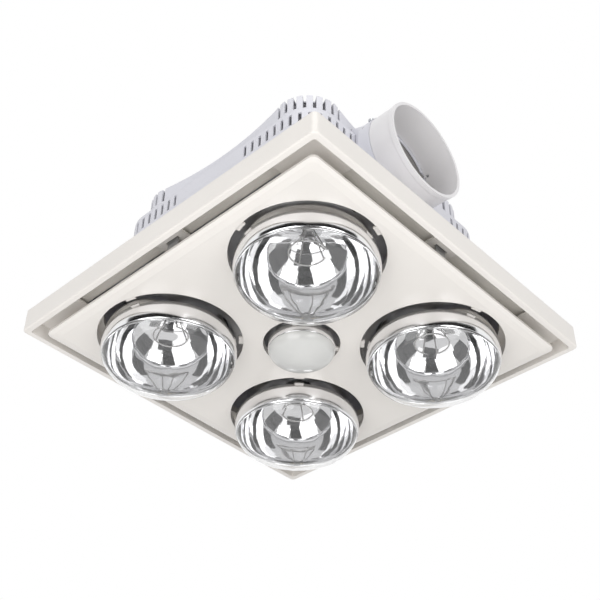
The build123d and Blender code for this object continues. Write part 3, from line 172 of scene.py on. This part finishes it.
def node(tree, kind, at, **values):
    """Adds a shader node; values name its properties or its input sockets."""
    made = tree.nodes.new(kind)
    made.location = at
    for name, value in values.items():
        if hasattr(made, name):
            setattr(made, name, value)
        else:
            made.inputs[name.replace("_", " ")].default_value = value
    return made


def group_tree(name, inputs, outputs):
    """New node group with named float or colour sockets, its input node and its output node."""
    tree = bpy.data.node_groups.new(name, "ShaderNodeTree")
    for label, kind, value in inputs:
        socket = tree.interface.new_socket(label, in_out="INPUT", socket_type=kind)
        socket.default_value = value
    for label, kind in outputs:
        tree.interface.new_socket(label, in_out="OUTPUT", socket_type=kind)
    start = tree.nodes.new("NodeGroupInput")
    start.location = (-900, 0)
    end = tree.nodes.new("NodeGroupOutput")
    end.location = (600, 0)
    return tree, start, end


def grain_group():
    """Fine moulded grain: bump height and roughness that change over the surface."""
    if "moulded grain" in bpy.data.node_groups:
        return bpy.data.node_groups["moulded grain"]
    tree, start, end = group_tree(
        "moulded grain",
        [("Grain", FLOAT, 1100.0), ("Roughness", FLOAT, 0.4), ("Spread", FLOAT, 0.08)],
        [("Height", FLOAT), ("Roughness", FLOAT)])
    place = node(tree, "ShaderNodeTexCoord", (-900, 300))
    fine = node(tree, "ShaderNodeTexNoise", (-600, 200), Detail=3.0, Roughness=0.6)
    broad = node(tree, "ShaderNodeTexNoise", (-600, -100), Scale=24.0, Detail=4.0)
    spread = node(tree, "ShaderNodeMath", (-300, -100), operation="SUBTRACT")
    spread.inputs[1].default_value = 0.5
    amount = node(tree, "ShaderNodeMath", (-100, -100), operation="MULTIPLY")
    total = node(tree, "ShaderNodeMath", (150, -100), operation="ADD")
    links = tree.links
    links.new(place.outputs["Object"], fine.inputs["Vector"])
    links.new(place.outputs["Object"], broad.inputs["Vector"])
    links.new(start.outputs["Grain"], fine.inputs["Scale"])
    links.new(broad.outputs["Fac"], spread.inputs[0])
    links.new(spread.outputs[0], amount.inputs[0])
    links.new(start.outputs["Spread"], amount.inputs[1])
    links.new(amount.outputs[0], total.inputs[0])
    links.new(start.outputs["Roughness"], total.inputs[1])
    links.new(fine.outputs["Fac"], end.inputs["Height"])
    links.new(total.outputs[0], end.inputs["Roughness"])
    return tree


def tint_group():
    """Two tones of one colour in soft clouds, as moulded or plated surfaces have."""
    if "cloudy tint" in bpy.data.node_groups:
        return bpy.data.node_groups["cloudy tint"]
    tree, start, end = group_tree(
        "cloudy tint",
        [("Colour", COLOUR, (0.8, 0.8, 0.8, 1)), ("Second", COLOUR, (0.7, 0.7, 0.7, 1)),
         ("Scale", FLOAT, 8.0), ("Amount", FLOAT, 0.5)],
        [("Colour", COLOUR)])
    place = node(tree, "ShaderNodeTexCoord", (-900, 300))
    cloud = node(tree, "ShaderNodeTexNoise", (-600, 100), Detail=5.0, Roughness=0.55)
    ramp = node(tree, "ShaderNodeMapRange", (-350, 100))
    ramp.inputs["From Min"].default_value = 0.35
    ramp.inputs["From Max"].default_value = 0.65
    share = node(tree, "ShaderNodeMath", (-100, 100), operation="MULTIPLY")
    blend = node(tree, "ShaderNodeMix", (150, 0), data_type="RGBA")
    links = tree.links
    links.new(place.outputs["Object"], cloud.inputs["Vector"])
    links.new(start.outputs["Scale"], cloud.inputs["Scale"])
    links.new(cloud.outputs["Fac"], ramp.inputs["Value"])
    links.new(ramp.outputs["Result"], share.inputs[0])
    links.new(start.outputs["Amount"], share.inputs[1])
    links.new(share.outputs[0], blend.inputs["Factor"])
    links.new(start.outputs["Colour"], blend.inputs["A"])
    links.new(start.outputs["Second"], blend.inputs["B"])
    links.new(blend.outputs["Result"], end.inputs["Colour"])
    return tree


def brushed_group():
    """Fine streaks along one direction, for rolled and drawn metal."""
    if "drawn streaks" in bpy.data.node_groups:
        return bpy.data.node_groups["drawn streaks"]
    tree, start, end = group_tree(
        "drawn streaks",
        [("Along", FLOAT, 30.0), ("Across", FLOAT, 900.0), ("Roughness", FLOAT, 0.3)],
        [("Height", FLOAT), ("Roughness", FLOAT)])
    place = node(tree, "ShaderNodeTexCoord", (-900, 300))
    stretch = node(tree, "ShaderNodeCombineXYZ", (-700, 0))
    scaled = node(tree, "ShaderNodeVectorMath", (-500, 150), operation="MULTIPLY")
    streak = node(tree, "ShaderNodeTexNoise", (-250, 150), Scale=1.0, Detail=2.0)
    spread = node(tree, "ShaderNodeMath", (0, -100), operation="MULTIPLY_ADD")
    spread.inputs[1].default_value = 0.12
    links = tree.links
    links.new(start.outputs["Along"], stretch.inputs["X"])
    links.new(start.outputs["Across"], stretch.inputs["Y"])
    links.new(start.outputs["Across"], stretch.inputs["Z"])
    links.new(place.outputs["Object"], scaled.inputs[0])
    links.new(stretch.outputs[0], scaled.inputs[1])
    links.new(scaled.outputs[0], streak.inputs["Vector"])
    links.new(streak.outputs["Fac"], spread.inputs[0])
    links.new(start.outputs["Roughness"], spread.inputs[2])
    links.new(streak.outputs["Fac"], end.inputs["Height"])
    links.new(spread.outputs[0], end.inputs["Roughness"])
    return tree


def new_material(name):
    """Empty node material with its shader."""
    made = bpy.data.materials.new(name)
    made.use_nodes = True
    tree = made.node_tree
    return made, tree, tree.nodes["Principled BSDF"]


def add_group(tree, group, at, **values):
    """Places a node group and sets its inputs."""
    made = tree.nodes.new("ShaderNodeGroup")
    made.node_tree = group
    made.location = at
    for name, value in values.items():
        made.inputs[name].default_value = value
    return made


def add_bump(tree, shader, height, strength, distance, edge=0.0):
    """Bump on the shader's normal, over softened edges where the radius isn't zero."""
    bump = node(tree, "ShaderNodeBump", (-250, -400), Strength=strength, Distance=distance)
    tree.links.new(height, bump.inputs["Height"])
    if edge > 0:
        soft = node(tree, "ShaderNodeBevel", (-500, -550), samples=4, Radius=edge)
        tree.links.new(soft.outputs["Normal"], bump.inputs["Normal"])
    tree.links.new(bump.outputs["Normal"], shader.inputs["Normal"])


def darker(colour, share):
    """The colour at a share of its brightness, with alpha."""
    return tuple(c * share for c in colour[:3]) + (1.0,)


def moulded(name, colour, finish, roughness=0.4, coat=0.0, grain=1.0):
    """Moulded plastic: cloudy tint, fine grain and softened edges; grain multiplies its fineness."""
    made, tree, shader = new_material(name)
    tint = add_group(tree, tint_group(), (-500, 100), Colour=tuple(colour[:3]) + (1.0,),
                     Second=darker(colour, MOULDED_SHADE), Scale=9.0, Amount=0.6)
    surface = add_group(tree, grain_group(), (-500, -150), Grain=grain / finish.grain,
                        Roughness=roughness, Spread=0.10)
    tree.links.new(tint.outputs["Colour"], shader.inputs["Base Color"])
    tree.links.new(surface.outputs["Roughness"], shader.inputs["Roughness"])
    shader.inputs["Coat Weight"].default_value = coat
    shader.inputs["Coat Roughness"].default_value = 0.12
    add_bump(tree, shader, surface.outputs["Height"], strength=0.35, distance=MOULDED_DEPTH,
             edge=finish.edge)
    return made


def paint_light_below(made, painted_light_colour, level):
    """Gives a moulded material a second, paler colour below a level, where only the flange lies:
    painted light standing in for the light that falls through the air slots onto the flange.
    """
    tree = made.node_tree
    shader = tree.nodes["Principled BSDF"]
    upper = shader.inputs["Base Color"].links[0].from_socket
    place = node(tree, "ShaderNodeTexCoord", (-900, 500))
    split = node(tree, "ShaderNodeSeparateXYZ", (-700, 500))
    mask = node(tree, "ShaderNodeMapRange", (-500, 500))
    mask.inputs["From Min"].default_value = level - FLANGE_FADE
    mask.inputs["From Max"].default_value = level + FLANGE_FADE
    blend = node(tree, "ShaderNodeMix", (-200, 400), data_type="RGBA")
    blend.inputs["A"].default_value = tuple(painted_light_colour[:3]) + (1.0,)
    tree.links.new(place.outputs["Object"], split.inputs[0])
    tree.links.new(split.outputs["Z"], mask.inputs["Value"])
    tree.links.new(mask.outputs["Result"], blend.inputs["Factor"])
    tree.links.new(upper, blend.inputs["B"])
    tree.links.new(blend.outputs["Result"], shader.inputs["Base Color"])
    return made


def metal(name, colour, roughness, along=30.0, across=900.0):
    """Drawn, rolled or plated metal; along and across set how long and how fine its streaks are."""
    made, tree, shader = new_material(name)
    tint = add_group(tree, tint_group(), (-500, 100), Colour=tuple(colour) + (1.0,),
                     Second=darker(colour, METAL_SHADE), Scale=30.0, Amount=0.6)
    streaks = add_group(tree, brushed_group(), (-500, -150), Along=along, Across=across,
                        Roughness=roughness)
    tree.links.new(tint.outputs["Colour"], shader.inputs["Base Color"])
    tree.links.new(streaks.outputs["Roughness"], shader.inputs["Roughness"])
    shader.inputs["Metallic"].default_value = 1.0
    add_bump(tree, shader, streaks.outputs["Height"], strength=0.3, distance=METAL_DEPTH,
             edge=METAL_EDGE)
    return made


def blown_glass(name, colour):
    """Clear blown glass with a slow ripple."""
    made, tree, shader = new_material(name)
    shader.inputs["Base Color"].default_value = tuple(colour) + (1.0,)
    shader.inputs["Roughness"].default_value = 0.0
    shader.inputs["Transmission Weight"].default_value = 1.0
    shader.inputs["IOR"].default_value = 1.47
    place = node(tree, "ShaderNodeTexCoord", (-900, -300))
    ripple = node(tree, "ShaderNodeTexNoise", (-600, -300), Scale=38.0, Detail=2.0)
    tree.links.new(place.outputs["Object"], ripple.inputs["Vector"])
    add_bump(tree, shader, ripple.outputs["Fac"], strength=0.25, distance=GLASS_RIPPLE_DEPTH)
    return made


def silvering(name, colour, roughness, waves, depth):
    """Vacuum silvering on glass: a mirror with slow waves and a faint haze."""
    made, tree, shader = new_material(name)
    haze = add_group(tree, grain_group(), (-500, -150), Grain=500.0, Roughness=roughness,
                     Spread=0.06)
    tint = add_group(tree, tint_group(), (-500, 100), Colour=tuple(colour[:3]) + (1.0,),
                     Second=darker(colour, SILVER_SHADE), Scale=14.0, Amount=0.5)
    place = node(tree, "ShaderNodeTexCoord", (-900, -400))
    wave = node(tree, "ShaderNodeTexNoise", (-700, -400), Scale=waves, Detail=3.0, Roughness=0.45)
    tree.links.new(place.outputs["Object"], wave.inputs["Vector"])
    tree.links.new(tint.outputs["Colour"], shader.inputs["Base Color"])
    tree.links.new(haze.outputs["Roughness"], shader.inputs["Roughness"])
    shader.inputs["Metallic"].default_value = 1.0
    add_bump(tree, shader, wave.outputs["Fac"], strength=0.5, distance=depth)
    return made


def opal_glass(name, colour):
    """Pearl coated glass: smooth outside over a milky coat."""
    made, tree, shader = new_material(name)
    tint = add_group(tree, tint_group(), (-500, 100), Colour=tuple(colour[:3]) + (1.0,),
                     Second=darker(colour, PEARL_SHADE), Scale=40.0, Amount=0.6)
    surface = add_group(tree, grain_group(), (-500, -150), Grain=900.0, Roughness=0.3,
                        Spread=0.08)
    tree.links.new(tint.outputs["Colour"], shader.inputs["Base Color"])
    tree.links.new(surface.outputs["Roughness"], shader.inputs["Roughness"])
    shader.inputs["Coat Weight"].default_value = 0.8
    shader.inputs["Coat Roughness"].default_value = 0.04
    shader.inputs["Subsurface Weight"].default_value = 0.3
    shader.inputs["Subsurface Radius"].default_value = PEARL_SCATTER
    add_bump(tree, shader, surface.outputs["Height"], strength=0.15, distance=PEARL_DEPTH)
    return made


def paint(names, material):
    """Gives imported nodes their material."""
    for name in names:
        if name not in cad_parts:
            raise RuntimeError(f"no packed node named {name}")
        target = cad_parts[name]
        target.data.materials.clear()
        target.data.materials.append(material)


def lathe(name, profile, axis, segments):
    """Closed mesh turned about an upright axis; a profile point is radius, height and material."""
    rings = []
    vertices, faces, slots = [], [], []
    for radius, height, _ in profile:
        if radius < TINY:
            rings.append([len(vertices)])
            vertices.append((axis[0], axis[1], height))
            continue
        ring = []
        for i in range(segments):
            turn = 2 * math.pi * i / segments
            x = axis[0] + radius * math.cos(turn)
            y = axis[1] + radius * math.sin(turn)
            ring.append(len(vertices))
            vertices.append((x, y, height))
        rings.append(ring)
    for a in range(len(profile)):
        low, high = rings[a], rings[(a + 1) % len(rings)]
        for i in range(segments):
            j = (i + 1) % segments
            corners = [low[i % len(low)], low[j % len(low)], high[j % len(high)], high[i % len(high)]]
            face = list(dict.fromkeys(corners))
            if len(face) > 2:
                faces.append(face)
                slots.append(profile[a][2])
    mesh = bpy.data.meshes.new(name)
    mesh.from_pydata(vertices, [], faces)
    mesh.validate()
    mesh.update()
    for polygon, slot in zip(mesh.polygons, slots):
        polygon.use_smooth = True
        polygon.material_index = slot
    made = bpy.data.objects.new(name, mesh)
    bpy.context.scene.collection.objects.link(made)
    return made


def arc(centre, radius, first, last, count):
    """Points of an arc between two angles."""
    steps = [first + (last - first) * i / (count - 1) for i in range(count)]
    return [(centre[0] + radius * math.cos(a), centre[1] + radius * math.sin(a)) for a in steps]


def back_points(form, radius, rim_z, top_z, inset):
    """Points up the back of a lamp: coat edge, widest ring, bowl, neck and its taper."""
    shoulder = form.shoulder - inset
    neck = form.neck - inset
    neck_low = top_z - form.neck_length
    across = radius - inset - neck
    rise = neck_low - rim_z
    both = (across ** 2 + rise ** 2) / (2 * across)
    bowl = form.bowl - inset
    bend = math.atan2(rise, both - across)
    edge = math.asin(form.coat_edge / shoulder)
    points = arc((radius - form.shoulder, rim_z), shoulder, -edge, 0, 6)
    points += arc((radius - form.bowl, rim_z), bowl, 0, bend, 22)[1:]
    points += arc((neck + both - bowl, neck_low), both - bowl, math.pi + bend, math.pi, 14)[1:]
    return points + [(neck, top_z - form.neck_length / 2), (THROAT_RADIUS - inset, top_z)]


def front_points(form, radius, rim_z, inset):
    """Points down the front of a lamp: shoulder from the coat edge, then the shallow dome."""
    shoulder = form.shoulder - inset
    depth = form.dome - inset
    out = radius - form.shoulder
    front = (out ** 2 + depth ** 2 - shoulder ** 2) / (2 * (depth - shoulder))
    lean = math.atan2(out, front - depth)
    edge = math.asin(form.coat_edge / shoulder)
    points = arc((out, rim_z), shoulder, -edge, lean - math.pi / 2, 14)
    return points + arc((0, rim_z - depth + front), front, lean - math.pi / 2, -math.pi / 2, 18)[1:]


def with_slot(points, slot):
    """Adds a material number to profile points."""
    return [(r, z, slot) for r, z in points]


def reflector_lamp(node_name, form):
    """Silvered back and clear front of one lamp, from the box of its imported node."""
    low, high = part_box(node_name)
    axis = ((low.x + high.x) / 2, (low.y + high.y) / 2)
    radius = (high.x - low.x) / 2
    rim_z = low.z + form.dome
    back = back_points(form, radius, rim_z, high.z, 0)
    lining = back_points(form, radius, rim_z, high.z, form.glass)
    profile = with_slot(back, 0) + with_slot(lining[::-1], 1)
    silvered = lathe(f"{node_name}_silvered", profile, axis, form.segments)
    front = front_points(form, radius, rim_z, 0)
    inside = front_points(form, radius, rim_z, form.glass)
    clear = lathe(f"{node_name}_front", with_slot(front[::-1] + inside, 0), axis, form.segments)
    return silvered, clear


class HEATLAMP_OT_stage(bpy.types.Operator):
    """Floor, backdrop light and the camera of the photograph"""

    bl_idname = "heatlamp.stage"
    bl_label = "Studio and camera"

    def execute(self, context):
        build_floor(context.scene)
        build_world(context.scene)
        build_cards(context.scene)
        build_lights(context.scene)
        build_camera(context.scene)
        context.scene.view_settings.view_transform = "Standard"
        return {"FINISHED"}


def build_floor(scene):
    """Pale floor well below the unit."""
    half, z = FLOOR_HALF, FLOOR_LEVEL
    mesh = bpy.data.meshes.new("floor")
    corners = [(-half, -half, z), (half, -half, z), (half, half, z), (-half, half, z)]
    mesh.from_pydata(corners, [], [(0, 1, 2, 3)])
    floor = bpy.data.objects.new("floor", mesh)
    scene.collection.objects.link(floor)
    made, tree, shader = new_material("pale floor")
    tint = add_group(tree, tint_group(), (-500, 100), Colour=FLOOR_COLOUR, Second=FLOOR_SECOND,
                     Scale=2.0, Amount=0.5)
    tree.links.new(tint.outputs["Colour"], shader.inputs["Base Color"])
    shader.inputs["Roughness"].default_value = 0.8
    mesh.materials.append(made)


def build_world(scene):
    """Even light all round, white where the background is seen, mirrored or seen through glass."""
    world = bpy.data.worlds.new("studio")
    scene.world = world
    world.use_nodes = True
    tree = world.node_tree
    background = tree.nodes["Background"]
    path = node(tree, "ShaderNodeLightPath", (-900, 200))
    seen_or_mirrored = node(tree, "ShaderNodeMath", (-650, 200), operation="MAXIMUM")
    any_view = node(tree, "ShaderNodeMath", (-450, 200), operation="MAXIMUM")
    blend = node(tree, "ShaderNodeMix", (-200, 100), data_type="RGBA")
    blend.inputs["A"].default_value = ROOM_COLOUR
    blend.inputs["B"].default_value = BACKGROUND_COLOUR
    links = tree.links
    links.new(path.outputs["Is Camera Ray"], seen_or_mirrored.inputs[0])
    links.new(path.outputs["Is Glossy Ray"], seen_or_mirrored.inputs[1])
    links.new(seen_or_mirrored.outputs[0], any_view.inputs[0])
    links.new(path.outputs["Is Transmission Ray"], any_view.inputs[1])
    links.new(any_view.outputs[0], blend.inputs["Factor"])
    links.new(blend.outputs["Result"], background.inputs["Color"])
    background.inputs["Strength"].default_value = 1.0


def add_area(scene, name, place, target, size, power):
    """Soft rectangular lamp that faces a point."""
    light = bpy.data.lights.new(name, "AREA")
    light.shape = "RECTANGLE"
    light.size, light.size_y = size
    light.energy = power
    made = bpy.data.objects.new(name, light)
    made.location = place
    direction = Vector(target) - Vector(place)
    made.rotation_mode = "QUATERNION"
    made.rotation_quaternion = direction.to_track_quat("-Z", "Y")
    scene.collection.objects.link(made)
    return made


def add_card(scene, name, place, target, size, tone):
    """Studio card of an even tone that faces a point, and that only mirrors and glass see."""
    mesh = bpy.data.meshes.new(name)
    x, y = size[0] / 2, size[1] / 2
    mesh.from_pydata([(-x, -y, 0), (x, -y, 0), (x, y, 0), (-x, y, 0)], [], [(0, 1, 2, 3)])
    made, tree, shader = new_material(name)
    shader.inputs["Base Color"].default_value = (0, 0, 0, 1)
    shader.inputs["Specular IOR Level"].default_value = 0.0
    shader.inputs["Emission Color"].default_value = (tone, tone, tone, 1)
    shader.inputs["Emission Strength"].default_value = 1.0
    mesh.materials.append(made)
    card = bpy.data.objects.new(name, mesh)
    card.location = place
    card.rotation_mode = "QUATERNION"
    card.rotation_quaternion = (Vector(target) - Vector(place)).to_track_quat("-Z", "Y")
    card.visible_camera = False
    card.visible_diffuse = False
    card.visible_shadow = False
    card.visible_volume_scatter = False
    scene.collection.objects.link(card)


def build_cards(scene):
    """Dark and white cards round the soft boxes, for the lamps to mirror."""
    add_card(scene, "low_card", (0.1, 0.1, -1.10), (0.1, 0.1, 0), (5.0, 5.0), 0.70)
    add_card(scene, "between_card", (-0.817, -0.775, -0.65), MIDDLE, (0.58, 0.80), 0.06)
    add_card(scene, "under_card", (-0.34, -0.46, -0.83), MIDDLE, (0.46, 0.34), 0.10)
    add_card(scene, "left_dark_card", (-0.864, 0.499, -0.752), MIDDLE, (0.72, 0.70), 0.13)
    add_card(scene, "right_dark_card", (0.357, -0.932, -0.752), MIDDLE, (0.66, 0.74), 0.13)
    build_horizon(scene)
    add_card(scene, "left_low_card", (-0.642, -0.039, -0.953), MIDDLE, (0.56, 0.30), 1.3)
    add_card(scene, "right_low_card", (-0.203, -0.758, -0.841), MIDDLE, (0.40, 0.44), 1.3)


def build_horizon(scene):
    """Upright dark cards on an arc, which the silvering mirrors as a dark crescent at its edge."""
    for number, turn in enumerate(HORIZON_TURNS):
        x = HORIZON_REACH * math.cos(math.radians(turn))
        y = HORIZON_REACH * math.sin(math.radians(turn))
        place = (x, y, HORIZON_LEVEL)
        add_card(scene, f"horizon_card_{number}", place, (0, 0, HORIZON_LEVEL), HORIZON_SIZE, 0.01)


def build_lights(scene):
    """Soft boxes at a plain level, from the sides, from above and from below."""
    add_area(scene, "left_box", (-0.98, -0.23, -0.62), MIDDLE, (0.74, 1.0), 4.3)
    add_area(scene, "right_box", (-0.29, -1.06, -0.46), MIDDLE, (0.53, 0.66), 3.35)
    add_area(scene, "top_box", (-0.6, -0.6, 1.5), MIDDLE, (1.4, 1.4), 9)
    low = add_area(scene, "low_box", (-0.2, -0.2, -1.05), MIDDLE, (1.6, 1.6), 4.5)
    low.visible_glossy = False
    low.visible_transmission = False


def build_camera(scene):
    """Camera below the unit, where the photograph was taken from."""
    data = bpy.data.cameras.new("photo camera")
    data.sensor_width = SENSOR_WIDTH
    data.lens = LENS
    camera = bpy.data.objects.new("photo_camera", data)
    right = Vector(CAMERA_RIGHT)
    up = Vector(CAMERA_UP)
    back = right.cross(up).normalized()
    turn = Matrix((right, up, back)).transposed().to_4x4()
    camera.matrix_world = Matrix.Translation(CAMERA_PLACE) @ turn
    data.clip_start, data.clip_end = 0.01, 50
    scene.collection.objects.link(camera)
    scene.camera = camera


class HEATLAMP_OT_front(bpy.types.Operator):
    """Front frame, removable panel and its spring clips"""

    bl_idname = "heatlamp.front"
    bl_label = "Frame and panel"

    def execute(self, context):
        finish = context.scene.heat_lamp_finish
        ivory = moulded("ivory plastic", finish.ivory, finish, roughness=0.32, coat=0.25)
        paint(["front_frame", "front_panel"], ivory)
        paint(["panel_clips"], metal("spring steel", (0.55, 0.56, 0.58), 0.28))
        return {"FINISHED"}


class HEATLAMP_OT_heat_lamps(bpy.types.Operator):
    """Four reflector heat lamps with silvered backs and clear fronts"""

    bl_idname = "heatlamp.heat_lamps"
    bl_label = "Heat lamps"

    def execute(self, context):
        finish = context.scene.heat_lamp_finish
        outside = silvering("silvered back", finish.silver, roughness=0.16, waves=30.0, depth=0.0004)
        mirror = silvering("reflector", finish.silver, roughness=0.05, waves=24.0, depth=0.0012)
        clear = blown_glass("clear glass", (1.0, 1.0, 1.0))
        wire = metal("filament wire", (0.95, 0.94, 0.93), 0.55)
        for number in LAMP_NUMBERS:
            name = f"heat_lamp_{number}"
            silvered, front = reflector_lamp(name, context.scene.heat_lamp_form)
            silvered.data.materials.append(outside)
            silvered.data.materials.append(mirror)
            front.data.materials.append(clear)
            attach(silvered, name)
            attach(front, name)
            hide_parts(name)
            paint([f"heat_lamp_filament_{number}"], wire)
        return {"FINISHED"}


class HEATLAMP_OT_centre_lamp(bpy.types.Operator):
    """Pearl centre lamp"""

    bl_idname = "heatlamp.centre_lamp"
    bl_label = "Centre lamp"

    def execute(self, context):
        finish = context.scene.heat_lamp_finish
        form = context.scene.centre_lamp_form
        silvered, front = reflector_lamp("centre_lamp", form)
        outside = silvering("centre silvered back", finish.silver, roughness=0.22, waves=30.0,
                            depth=0.0003)
        mirror = silvering("centre reflector", finish.silver, roughness=0.1, waves=22.0, depth=0.0006)
        silvered.data.materials.append(outside)
        silvered.data.materials.append(mirror)
        front.data.materials.append(opal_glass("pearl glass", finish.pearl))
        for piece in (silvered, front):
            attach(piece, "centre_lamp")
        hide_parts("centre_lamp")
        return {"FINISHED"}


class HEATLAMP_OT_housing(bpy.types.Operator):
    """Housing, outlet duct, collar and terminal box"""

    bl_idname = "heatlamp.housing"
    bl_label = "Housing and duct"

    def execute(self, context):
        finish = context.scene.heat_lamp_finish
        white = moulded("housing white", finish.housing, finish, roughness=0.45, coat=0.05, grain=0.8)
        paint(["housing_cover", "outlet_duct", "terminal_box", "terminal_lid"], white)
        base = moulded("housing base white with painted light on the flange", finish.housing, finish, roughness=0.45, coat=0.05,
                       grain=0.8)
        # The flange under the level is painted paler than the housing: painted light, not a second
        # paint.
        paint(["housing_base"], paint_light_below(base, finish.flange, FLANGE_LEVEL))
        paint(["duct_collar"], moulded("collar white", finish.collar, finish, roughness=0.3, coat=0.2))
        rolled = metal("rolled aluminium", (0.75, 0.75, 0.76), 0.3, along=8.0, across=500.0)
        paint(["heat_shield"], rolled)
        plastics = (
            ("backdraught_flap", "grey plastic", (0.22, 0.21, 0.20), 0.5),
            ("cable_gland", "dark plastic", (0.07, 0.07, 0.075), 0.5),
            ("terminal_block", "terminal plastic", (0.62, 0.58, 0.46), 0.4),
            ("thermal_cutout", "black phenolic", (0.02, 0.02, 0.02), 0.45),
        )
        for name, plastic, colour, roughness in plastics:
            paint([name], moulded(plastic, colour, finish, roughness=roughness))
        return {"FINISHED"}


class HEATLAMP_OT_fan(bpy.types.Operator):
    """Exhaust fan"""

    bl_idname = "heatlamp.fan"
    bl_label = "Fan"

    def execute(self, context):
        finish = context.scene.heat_lamp_finish
        black = moulded("black plastic", (0.022, 0.022, 0.023), finish, roughness=0.4)
        paint(["scroll_case", "impeller"], black)
        paint(["fan_motor", "motor_plate"], metal("zinc steel", (0.62, 0.63, 0.65), 0.34))
        paint(["motor_bush"], metal("sintered bronze", (0.55, 0.38, 0.18), 0.5))
        paint(["fan_shaft", "shaft_nut", "flap_pin"], metal("bright steel", (0.66, 0.66, 0.68), 0.2))
        return {"FINISHED"}


class HEATLAMP_OT_fittings(bpy.types.Operator):
    """Lamp holders, brackets, caps and screws"""

    bl_idname = "heatlamp.fittings"
    bl_label = "Holders and screws"

    def execute(self, context):
        finish = context.scene.heat_lamp_finish
        ceramic = moulded("glazed ceramic", (0.80, 0.78, 0.72), finish, roughness=0.22, coat=0.5)
        paint([f"lamp_holder_{n}" for n in LAMP_NUMBERS] + ["centre_lamp_holder"], ceramic)
        strip = metal("plated strip", (0.60, 0.61, 0.63), 0.32)
        paint([f"lamp_bracket_{n}" for n in LAMP_NUMBERS] + ["centre_bracket"], strip)
        caps = metal("cap brass", (0.72, 0.60, 0.36), 0.25)
        paint([f"heat_lamp_cap_{n}" for n in LAMP_NUMBERS] + ["centre_lamp_cap"], caps)
        screws = metal("plated screws", (0.64, 0.65, 0.67), 0.25)
        groups = ("cover", "fan", "motor", "lid", "bracket", "frame", "shield", "holder",
                  "centre", "collar")
        paint([f"{group}_screws" for group in groups], screws)
        return {"FINISHED"}


class HEATLAMP_PT_sidebar(bpy.types.Panel):
    """Buttons and settings of the heat lamp"""

    bl_idname = "HEATLAMP_PT_sidebar"
    bl_label = "Ceiling heat lamp"
    bl_space_type = "VIEW_3D"
    bl_region_type = "UI"
    bl_category = "Heat lamp"

    def draw(self, context):
        column = self.layout.column()
        for operator in OPERATORS:
            column.operator(operator.bl_idname)
        scene = context.scene
        for group in (scene.heat_lamp_finish, scene.heat_lamp_form, scene.centre_lamp_form):
            for name in group.bl_rna.properties.keys():
                if name not in ("rna_type", "name"):
                    column.prop(group, name)


OPERATORS = (
    HEATLAMP_OT_stage,
    HEATLAMP_OT_front,
    HEATLAMP_OT_heat_lamps,
    HEATLAMP_OT_centre_lamp,
    HEATLAMP_OT_housing,
    HEATLAMP_OT_fan,
    HEATLAMP_OT_fittings,
)
CLASSES = (HeatLampFinish, ReflectorForm) + OPERATORS + (HEATLAMP_PT_sidebar,)


def register():
    """Adds the classes and the settings to Blender."""
    for item in CLASSES:
        bpy.utils.register_class(item)
    bpy.types.Scene.heat_lamp_finish = PointerProperty(type=HeatLampFinish)
    bpy.types.Scene.heat_lamp_form = PointerProperty(type=ReflectorForm)
    bpy.types.Scene.centre_lamp_form = PointerProperty(type=ReflectorForm)


def unregister():
    """Takes them away again."""
    del bpy.types.Scene.centre_lamp_form
    del bpy.types.Scene.heat_lamp_form
    del bpy.types.Scene.heat_lamp_finish
    for item in reversed(CLASSES):
        bpy.utils.unregister_class(item)


def size_centre_lamp(form):
    """Gives the centre lamp its own sizes in place of the heat lamps'."""
    for size, value in CENTRE_LAMP_SIZES.items():
        setattr(form, size, value)


def main():
    """Registers the classes and makes every piece in order."""
    register()
    size_centre_lamp(bpy.context.scene.centre_lamp_form)
    bpy.ops.heatlamp.stage()
    bpy.ops.heatlamp.front()
    bpy.ops.heatlamp.heat_lamps()
    bpy.ops.heatlamp.centre_lamp()
    bpy.ops.heatlamp.housing()
    bpy.ops.heatlamp.fan()
    bpy.ops.heatlamp.fittings()


if __name__ == "__main__":
    main()
